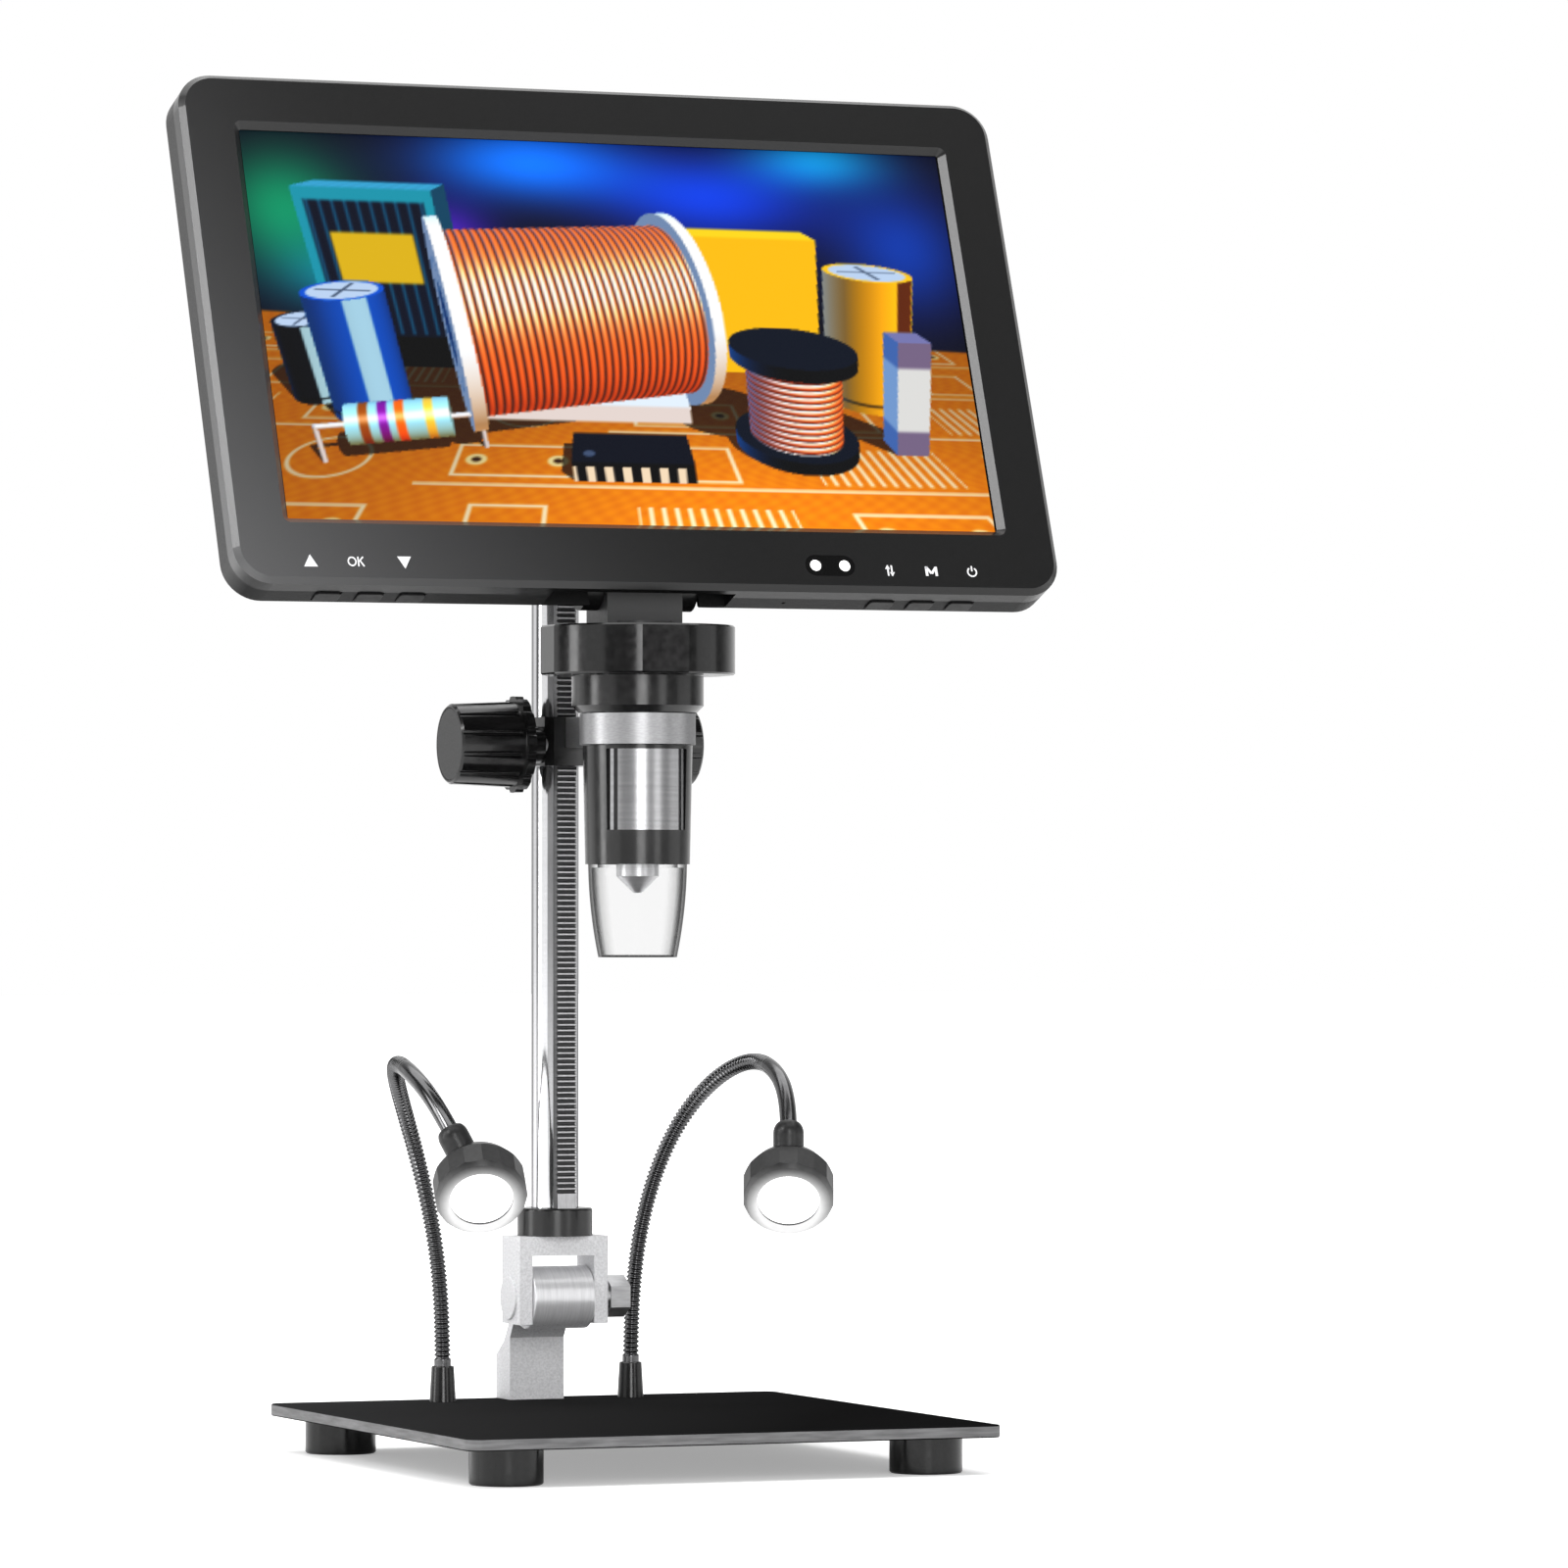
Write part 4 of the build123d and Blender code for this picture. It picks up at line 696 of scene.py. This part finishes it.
def hit_box(start, rays, low, high):
    """Distance to the box and outward normal."""
    safe = np.where(np.abs(rays) < tiny, tiny, rays)
    near, far = (low - start) / safe, (high - start) / safe
    first, last = np.minimum(near, far), np.maximum(near, far)
    enter, leave = first.max(-1), last.min(-1)
    ok = (enter < leave) & (enter > nearest_hit)
    axis = first.argmax(-1)
    normal = np.zeros(rays.shape)
    np.put_along_axis(normal, axis[..., None], -np.sign(np.take_along_axis(rays, axis[..., None], -1)), -1)
    return np.where(ok, enter, NO_HIT), normal


def soft(value, width):
    """1 where the value is positive, with a soft edge."""
    return np.clip(value / width + 0.5, 0, 1)


def mixed(below, above, mask):
    return below + (np.asarray(above) - below) * mask[..., None]


def tint(red, green, blue):
    return np.array([red, green, blue])


def backdrop(u, v):
    """Out of focus blue, green and violet lights."""
    colour = np.zeros(u.shape + (3,)) + tint(0.0, 0.02, 0.09)
    for x, y, wide, high, glow in (
        (0.40, 0.94, 0.15, 0.10, tint(0.02, 0.45, 0.95)), (0.05, 0.80, 0.10, 0.16, tint(0.02, 0.55, 0.30)),
        (0.66, 0.86, 0.16, 0.12, tint(0.02, 0.22, 0.80)), (0.16, 0.62, 0.12, 0.10, tint(0.0, 0.45, 0.55)),
        (0.93, 0.74, 0.10, 0.18, tint(0.02, 0.20, 0.55)), (0.27, 0.74, 0.07, 0.09, tint(0.30, 0.08, 0.60)),
        (0.82, 0.97, 0.10, 0.07, tint(0.0, 0.50, 0.62)),
    ):
        colour += np.exp(-(((u - x) / wide) ** 2 + ((v - y) / high) ** 2))[..., None] * glow
    return colour


def outline_mask(x, y, half_x, half_y, width):
    """A rectangle's outline about the origin."""
    return soft(width - np.abs(np.maximum(np.abs(x) - half_x, np.abs(y) - half_y)), width)


def board_colour(x, y):
    """Orange board with pale printed outlines, round pads and narrow tracks."""
    fibre = 0.5 + 0.5 * np.sin(x * 31 + 3 * np.sin(y * 7)) * np.sin(y * 29)
    base = mixed(np.zeros(x.shape + (3,)) + tint(0.90, 0.46, 0.015), tint(1.0, 0.60, 0.05), fibre * 0.5)
    wide, deep = 1.9, 1.15
    column, row = np.floor(x / wide), np.floor(y / deep)
    kind = np.mod(column * 2 + row * 3, 5)
    cx, cy = x - (column + 0.5) * wide, y - (row + 0.5) * deep
    thin = 0.022
    comb_pitch = 0.12
    print_lines = outline_mask(cx, cy, 0.62, 0.30, thin) * (kind < 2)
    print_lines = np.maximum(print_lines, outline_mask(cx, cy, 0.34, 0.34, thin) * (kind == 2))
    round_line = soft(thin - np.abs(np.hypot(cx, cy) - 0.40), thin)
    print_lines = np.maximum(print_lines, round_line * (kind == 3))
    comb = soft(thin - np.abs(np.mod(cx + comb_pitch / 2, comb_pitch) - comb_pitch / 2), thin)
    comb = comb * (np.abs(cx) < 0.72) * (np.abs(cy) < 0.36)
    print_lines = np.maximum(print_lines, comb * (kind == 4))
    link = soft(thin - np.abs(cy + 0.47), thin) * (kind != 3)
    print_lines = np.maximum(print_lines, link)
    pads = np.zeros(x.shape)
    holes = np.zeros(x.shape)
    for side in (-1, 1):
        reach = np.hypot(cx - side * 0.42, cy)
        pads = np.maximum(pads, soft(0.11 - reach, 0.03) * (kind < 2))
        holes = np.maximum(holes, soft(0.05 - reach, 0.03) * (kind < 2))
    base = mixed(base, tint(1.0, 0.95, 0.80), np.clip(print_lines, 0, 1) * 0.9)
    base = mixed(base, tint(0.98, 0.90, 0.62), pads)
    return mixed(base, tint(0.20, 0.07, 0.0), holes)


def lit(base, normal, rays, shine, gloss, metal_like=0.0):
    """Key light from the right, blue rim and a cool spark from the left, orange light from the board."""
    key = np.clip(normal @ unit(key_light), 0, 1)
    rim = np.clip(normal @ unit(rim_light), 0, 1)
    below = np.clip(-normal[..., 2] * 0.7 + 0.25, 0, 1)
    colour = base * (0.30 + 1.0 * key)[..., None] + rim[..., None] ** 2 * tint(0.05, 0.35, 0.75) * 0.8
    colour += below[..., None] * base * tint(0.9, 0.45, 0.08) * 0.8
    middle = unit(unit(key_light) - rays)
    spark = np.clip((normal * middle).sum(-1), 0, 1) ** gloss
    white = np.ones(3) * (1 - metal_like) + base * metal_like
    second = unit(unit(cool_light) - rays)
    cool = np.clip((normal * second).sum(-1), 0, 1) ** gloss
    colour = colour + (spark * shine)[..., None] * white
    return colour + (cool * shine * 0.45)[..., None] * tint(0.6, 0.85, 1.0)


def key_share(where, rods, boxes):
    """The share of the light that each point of the board keeps, less in a solid's shadow."""
    shade = np.ones(where.shape[:2])
    to_light = np.broadcast_to(unit(key_light), where.shape)
    for rod in rods:
        shade = np.where(hit_cylinder(where, to_light, *rod)[0] < NO_HIT, shadow_share, shade)
    for box in boxes:
        shade = np.where(hit_box(where, to_light, *box)[0] < NO_HIT, shadow_share, shade)
    return shade


def trace_picture():
    """The picture's colours, row by row from the bottom; each solid is put where it is the nearest."""
    rays, u, v = view_rays()
    colour = backdrop(u, v)
    nearest = np.full(u.shape, NO_HIT)

    def put(distance, painted):
        nonlocal colour, nearest
        shows = distance < nearest
        colour = np.where(shows[..., None], painted, colour)
        nearest = np.minimum(nearest, distance)

    def put_cylinder(foot, axis, radius, length, paint, shine=0.8, gloss=60, metal_like=0.0):
        foot, axis = np.array(foot, float), unit(np.array(axis, float))
        rods.append((foot, axis, radius, length))
        distance, normal, height, end = hit_cylinder(eye, rays, foot, axis, radius, length)
        where = eye + np.where(distance < NO_HIT, distance, 0)[..., None] * rays
        base, normal = paint(where, normal, height / length, end, foot, axis, radius)
        put(distance, lit(base, normal, rays, shine, gloss, metal_like))

    def put_box(low, high, paint, shine=0.5, gloss=50):
        low, high = np.array(low, float), np.array(high, float)
        boxes.append((low, high))
        distance, normal = hit_box(eye, rays, low, high)
        where = eye + np.where(distance < NO_HIT, distance, 0)[..., None] * rays
        put(distance, lit(paint(where, normal, low, high), normal, rays, shine, gloss))

    rods, boxes = [], []
    up = (0, 0, 1)
    lying = (0.95, 0.31, 0.0)
    slanting = (0.97, 0.24, 0.0)
    # a framed core on its block, and a film block
    put_box((-3.7, 2.0, 0), (-1.9, 2.8, 2.5), paint_core)
    put_box((-3.9, 1.9, 0), (-1.7, 2.9, 0.45), plain_box(tint(0.015, 0.02, 0.035)))
    put_box((1.3, 2.0, 0), (3.1, 2.7, 2.0), plain_box(tint(0.98, 0.80, 0.02)))
    # three upright cans: foot, radius, height, sleeve, stripe, shine, gloss
    for foot, radius, height, sleeve, stripe, shine, gloss in (
        ((3.45, 1.2, 0), 0.52, 1.75, tint(1.0, 0.74, 0.0), tint(0.25, 0.08, 0.0), 0.9, 40),
        ((-2.75, 0.55, 0), 0.44, 1.5, tint(0.02, 0.28, 0.75), tint(0.6, 0.8, 0.9), 1.0, 50),
        ((-3.5, 0.95, 0), 0.34, 1.0, tint(0.01, 0.03, 0.07), tint(0.6, 0.8, 0.9), 1.0, 50),
    ):
        put_cylinder(foot, up, radius, height, paint_can(sleeve, stripe), shine, gloss)
    # the large lying coil between its flanges, on a foot
    put_cylinder((-1.45, 0.30, 1.22), lying, 1.05, 2.5, paint_winding(30), 1.3, 18, 0.3)
    for foot in ((-1.58, 0.26, 1.22), (0.92, 1.07, 1.22)):
        put_cylinder(foot, lying, 1.20, 0.14, paint_former, 0.6, 40)
    put_box((-1.5, 0.35, 0), (1.0, 1.0, 0.22), plain_box(tint(0.88, 0.90, 0.95)))
    # the small drum coil between its ferrite discs
    put_cylinder((2.1, -0.1, 0.12), up, 0.50, 0.95, paint_winding(13), 1.6, 12, 0.25)
    for level in (0, 1.05):
        put_cylinder((2.1, -0.1, level), up, 0.66, 0.14, plain_rod(tint(0.03, 0.04, 0.06)), 0.7, 30)
    # a resistor on its bent leads
    steel = plain_rod(tint(0.75, 0.76, 0.80))
    put_cylinder((-2.55, -0.62, 0.40), slanting, 0.21, 1.0, paint_resistor, 0.9, 40)
    for x, y in ((-2.85, -0.69), (-1.30, -0.31)):
        put_cylinder((x, y, 0), up, 0.025, 0.42, steel, 1.0, 20)
    put_cylinder((-2.85, -0.69, 0.40), slanting, 0.028, 1.6, steel, 1.0, 20)
    # a chip, and a square ceramic post
    put_box((-0.35, -0.95, 0), (0.85, -0.35, 0.22), paint_chip)
    put_box((3.15, -0.3, 0), (3.5, 0.05, 1.35), paint_ceramic)
    # the board, with the shadows of all of them
    fall = rays[..., 2]
    distance = np.where(fall < -nearest_hit, -eye[2] / np.minimum(fall, -nearest_hit), NO_HIT)
    reach = np.where(distance < board_reach, distance, 0)[..., None]
    where = eye + reach * rays
    board = board_colour(where[..., 0], where[..., 1])
    shade = key_share(where, rods, boxes)
    glow = np.exp(-((where[..., 0] - 1.5) / 3.2) ** 2 - ((where[..., 1] + 2.0) / 2.4) ** 2)
    board = board * (shade * (0.72 + 0.42 * glow))[..., None]
    edge = board_end - where[..., 1] - 0.10 * where[..., 0]
    board = mixed(backdrop(u, v), board, soft(edge, 0.12))
    put(np.where(distance < board_reach, distance, NO_HIT), board)
    rows, columns = picture_rows, picture_columns
    return np.clip(colour, 0, 1).reshape(rows, samples_across, columns, samples_across, 3).mean((1, 3))


def paint_core(where, normal, low, high):
    """Dark blue laminations with a cyan frame."""
    place = (where - low) / (high - low)
    ribs = 0.5 + 0.5 * np.cos(place[..., 0] * 2 * pi * 11)
    base = mixed(np.zeros(where.shape) + tint(0.01, 0.06, 0.16), tint(0.05, 0.32, 0.50), ribs ** 5)
    inside = np.maximum(np.abs(place[..., 0] - 0.5), np.abs(place[..., 2] - 0.5)) * 2
    frame_mask = soft(inside - 0.86, 0.04) * (normal[..., 1] < -0.5)
    base = mixed(base, tint(0.10, 0.62, 0.78), frame_mask)
    label = soft(0.30 - np.abs(place[..., 0] - 0.5), 0.02) * soft(0.14 - np.abs(place[..., 2] - 0.62), 0.02)
    base = mixed(base, tint(0.85, 0.75, 0.10), label * (normal[..., 1] < -0.5))
    return mixed(base, tint(0.25, 0.70, 0.85), (normal[..., 2] > 0.5) * 0.8)


def plain_box(colour):
    """A box of one colour."""
    def paint(where, normal, low, high):
        return np.zeros(where.shape) + colour
    return paint


def plain_rod(colour):
    """A cylinder of one colour."""
    def paint(where, normal, height, end, foot, axis, radius):
        return np.zeros(where.shape) + colour, normal
    return paint


def paint_ceramic(where, normal, low, high):
    """A pale square post with silver ends."""
    height = (where[..., 2] - low[2]) / (high[2] - low[2])
    base = np.zeros(where.shape) + tint(0.85, 0.93, 1.0)
    return mixed(base, tint(0.45, 0.42, 0.60), soft(np.abs(height - 0.5) - 0.28, 0.03))


def paint_chip(where, normal, low, high):
    """A flat black chip with bright legs along its edge."""
    base = np.zeros(where.shape) + tint(0.02, 0.02, 0.04)
    legs = soft(np.cos(where[..., 0] * 2 * pi * 5.6) - 0.1, 0.2)
    legs = legs * (where[..., 2] < 0.17) * (normal[..., 1] < -0.5)
    dot = np.hypot(where[..., 0] - low[0] - 0.17, where[..., 1] - low[1] - 0.17)
    base = mixed(base, tint(0.25, 0.28, 0.36), soft(0.06 - dot, 0.02) * (normal[..., 2] > 0.5))
    return mixed(base, tint(0.95, 0.93, 0.85), legs)


def paint_can(sleeve, stripe):
    """An upright can: coloured sleeve with one stripe, and a scored silver top."""
    def paint(where, normal, height, end, foot, axis, radius):
        base = np.zeros(where.shape) + sleeve
        turn = np.arctan2(normal[..., 0], -normal[..., 1])
        base = mixed(base, stripe, soft(0.30 - np.abs(turn - 0.62), 0.05) * 0.9)
        base = mixed(base, sleeve * 0.35, soft(0.012 - np.abs(height - 0.07), 0.01))
        x, y = where[..., 0] - foot[0], where[..., 1] - foot[1]
        reach = np.hypot(x, y) / radius
        top = np.zeros(where.shape) + tint(0.72, 0.78, 0.86)
        score = soft(0.05 - np.minimum(np.abs(x), np.abs(y)) / radius, 0.04) * (reach < 0.7)
        top = mixed(top, tint(0.25, 0.28, 0.34), score)
        top = mixed(top, sleeve, soft(reach - 0.86, 0.05))
        return mixed(base, top, end.astype(float)), normal
    return paint


def paint_winding(turns):
    """Copper wire wound side by side."""
    def paint(where, normal, height, end, foot, axis, radius):
        phase = height * turns
        across = (phase - np.round(phase)) * 2
        bulge = np.sqrt(np.clip(1 - (across * 0.97) ** 2, 0, 1))
        wound = unit(normal * bulge[..., None] + across[..., None] * 0.97 * axis)
        base = np.zeros(where.shape) + tint(0.98, 0.42, 0.16) * (0.06 + 0.94 * bulge[..., None] ** 1.5)
        return base, np.where(end[..., None], normal, wound)
    return paint


def paint_former(where, normal, height, end, foot, axis, radius):
    """Pale moulded flange with a dark bore."""
    offset = where - foot - ((where - foot) @ axis)[..., None] * axis
    reach = np.linalg.norm(offset, axis=-1) / radius
    base = np.zeros(where.shape) + tint(0.86, 0.92, 0.98)
    base = mixed(base, tint(0.50, 0.60, 0.75), soft(0.02 - np.abs(reach - 0.62), 0.02) * end)
    return mixed(base, tint(0.01, 0.05, 0.14), soft(0.40 - reach, 0.03) * end), normal


def paint_resistor(where, normal, height, end, foot, axis, radius):
    """A pale body with four colour bands."""
    base = np.zeros(where.shape) + tint(0.55, 0.80, 0.88)
    for place, band in (
        (0.18, tint(0.55, 0.25, 0.02)), (0.36, tint(0.45, 0.05, 0.55)),
        (0.52, tint(0.95, 0.35, 0.02)), (0.80, tint(0.90, 0.72, 0.20)),
    ):
        base = mixed(base, band, soft(0.045 - np.abs(height - place), 0.02))
    return base, normal


def display_picture():
    """A fine grid of points in front of the glass that carries the traced colours."""
    colour = trace_picture()
    half_width, half_height = lit_size[0] / 2, lit_size[1] / 2
    depth = glass_front - picture_gap
    corner = on_screen(-half_width, window_middle - half_height, depth)
    across = np.array(on_screen(half_width, window_middle - half_height, depth) - corner)
    upward = np.array(on_screen(-half_width, window_middle + half_height, depth) - corner)
    u, v = np.meshgrid(np.linspace(0, 1, picture_columns), np.linspace(0, 1, picture_rows))
    places = np.array(corner) + u[..., None] * across + v[..., None] * upward
    index = np.arange(u.size).reshape(u.shape)
    quads = np.stack([index[:-1, :-1], index[:-1, 1:], index[1:, 1:], index[1:, :-1]], axis=-1).reshape(-1, 4)
    mesh = bpy.data.meshes.new("display_picture")
    mesh.vertices.add(u.size)
    mesh.vertices.foreach_set("co", places.astype(np.float32).ravel())
    mesh.loops.add(quads.size)
    mesh.loops.foreach_set("vertex_index", quads.astype(np.int32).ravel())
    mesh.polygons.add(len(quads))
    mesh.polygons.foreach_set("loop_start", np.arange(0, quads.size, 4, dtype=np.int32))
    mesh.update(calc_edges=True)
    attribute = mesh.color_attributes.new("picture", "FLOAT_COLOR", "POINT")
    rgba = np.ones((u.size, 4), np.float32)
    rgba[:, :3] = colour.reshape(-1, 3) ** display_gamma
    attribute.data.foreach_set("color", rgba.ravel())
    s = Shader("lit_picture")
    paint = s.node("ShaderNodeVertexColor", layer_name="picture")
    s.link(paint.outputs["Color"], s.bsdf.inputs["Emission Color"])
    s.set(Emission_Strength=1.0, Base_Color=(0.004, 0.004, 0.004, 1), Roughness=0.4, Specular_IOR_Level=0.08)
    mesh.materials.append(s.material)
    piece("display_picture", mesh, None, "screen")


# ------------------------------------------------------------------ stage, light and camera
card_rise = 0.35                # the middle of a reflection card above the floor
card_height = 1.6


def make_floor():
    """A white floor that keeps the shadow near the object and turns into the backdrop further out."""
    size, near, far = 12.0, 0.2, 0.75
    near_glow, far_glow, glossy_share = 0.35, 1.0, 0.2
    points = [(-size, -size, 0), (size, -size, 0), (size, size, 0), (-size, size, 0)]
    floor = bpy.data.objects.new("floor", mesh_from("floor", points, [[0, 1, 2, 3]], smooth=False))
    bpy.context.scene.collection.objects.link(floor)
    s = Shader("floor_white")
    s.colour(s.blended(s.between(s.noise(3), 0, 1), (0.84, 0.84, 0.84), (0.86, 0.86, 0.86)))
    s.set(Roughness=0.9, Specular_IOR_Level=0.0)
    rays = s.node("ShaderNodeLightPath")
    seen = s.maths("MAXIMUM", rays.outputs["Is Camera Ray"], rays.outputs["Is Transmission Ray"])
    seen = s.maths("MAXIMUM", seen, s.maths("MULTIPLY", rays.outputs["Is Glossy Ray"], glossy_share))
    length = s.node("ShaderNodeVectorMath", operation="LENGTH")
    s.link(s.coords, length.inputs[0])
    lift = s.between(length.outputs["Value"], near_glow, far_glow, near, far)
    glow = s.node("ShaderNodeEmission")
    s.link(s.maths("MULTIPLY", seen, lift), glow.inputs["Strength"])
    added = s.node("ShaderNodeAddShader")
    s.link(s.bsdf.outputs["BSDF"], added.inputs[0])
    s.link(glow.outputs["Emission"], added.inputs[1])
    s.link(added.outputs["Shader"], s.output.inputs["Surface"])
    floor.data.materials.append(s.material)


def area_light(name, centre, target, width, height, power):
    data = bpy.data.lights.new(name, "AREA")
    data.shape = "RECTANGLE"
    data.size, data.size_y = width, height
    data.energy = power
    lamp = bpy.data.objects.new(name, data)
    bpy.context.scene.collection.objects.link(lamp)
    lamp.location = centre
    lamp.rotation_euler = (Vector(target) - Vector(centre)).to_track_quat("-Z", "Y").to_euler()
    lamp.visible_camera = False
    return lamp


def reflection_card(name, azimuth, distance, width, brightness):
    """An upright card that shows only in reflections."""
    place = (distance * sin(radians(azimuth)), -distance * cos(radians(azimuth)), card_rise)
    power = pi * width * card_height * brightness
    area_light(name, place, (0, 0, card_rise), width, card_height, power).visible_diffuse = False


def make_world():
    """White to the camera. Other rays see it white behind the object and dim in front of it.

    Diffuse light never finds it darker than fill_level.
    """
    white_until, dim_from = -0.95, -0.4
    room_level, fill_level = 0.14, 0.62
    world = bpy.data.worlds.new("studio")
    bpy.context.scene.world = world
    world.use_nodes = True
    sky = Graph(world.node_tree)
    sky.tree.nodes.clear()
    rays = sky.node("ShaderNodeLightPath")
    towards_camera = sky.dot(sky.node("ShaderNodeTexCoord").outputs["Generated"], camera_side)
    backing = sky.between(towards_camera, 1.0, room_level, white_until, dim_from, "SMOOTHSTEP")
    seen = sky.maths("MAXIMUM", rays.outputs["Is Camera Ray"], rays.outputs["Is Transmission Ray"])
    fill = sky.maths("MULTIPLY", rays.outputs["Is Diffuse Ray"], fill_level)
    light = sky.node("ShaderNodeBackground")
    light.inputs["Color"].default_value = (1, 1, 1, 1)
    sky.link(sky.maths("MAXIMUM", seen, sky.maths("MAXIMUM", fill, backing)), light.inputs["Strength"])
    sky.link(light.outputs["Background"], sky.node("ShaderNodeOutputWorld").inputs["Surface"])


def make_camera():
    data = bpy.data.cameras.new("camera")
    data.lens = camera_lens
    data.sensor_width = 36.0
    data.clip_end = 50
    camera = bpy.data.objects.new("camera", data)
    bpy.context.scene.collection.objects.link(camera)
    camera.location = camera_place
    camera.rotation_euler = Vector(camera_aim).to_track_quat("-Z", "Y").to_euler()
    bpy.context.scene.camera = camera


bezel_marks()
infrared_dots()
gooseneck("left", -1)
gooseneck("right", 1)
display_picture()

make_floor()
make_world()
middle = (0, 0, 0.2)
upper = (0, 0, 0.35)
# name, centre, target, width, height in metres, power in watts
for light in (
    ("front_strip", (-0.6, -2.6, 0.5), middle, 0.8, 2.0, 31),
    ("right_card", (0.8, -1.9, 0.45), middle, 0.5, 1.6, 5),
    ("left_strip", (-1.9, 0.4, 0.45), middle, 0.45, 1.6, 12),
    ("top_soft", (0.0, 0.2, 2.0), middle, 2.6, 2.6, 42),
    ("bevel_card", (-1.65, -0.4, 1.37), upper, 0.5, 0.5, 11),
):
    area_light(*light)
# name, azimuth in degrees from the front to the right, distance, width, brightness
for card in (
    ("left_wall", -80, 2.0, 1.5, 0.72),
    ("back_left_card", -140, 2.2, 0.98, 0.7),
    ("right_wall", 68, 2.0, 1.15, 0.75),
):
    reflection_card(*card)
make_camera()
bpy.context.scene.view_settings.view_transform = "Standard"
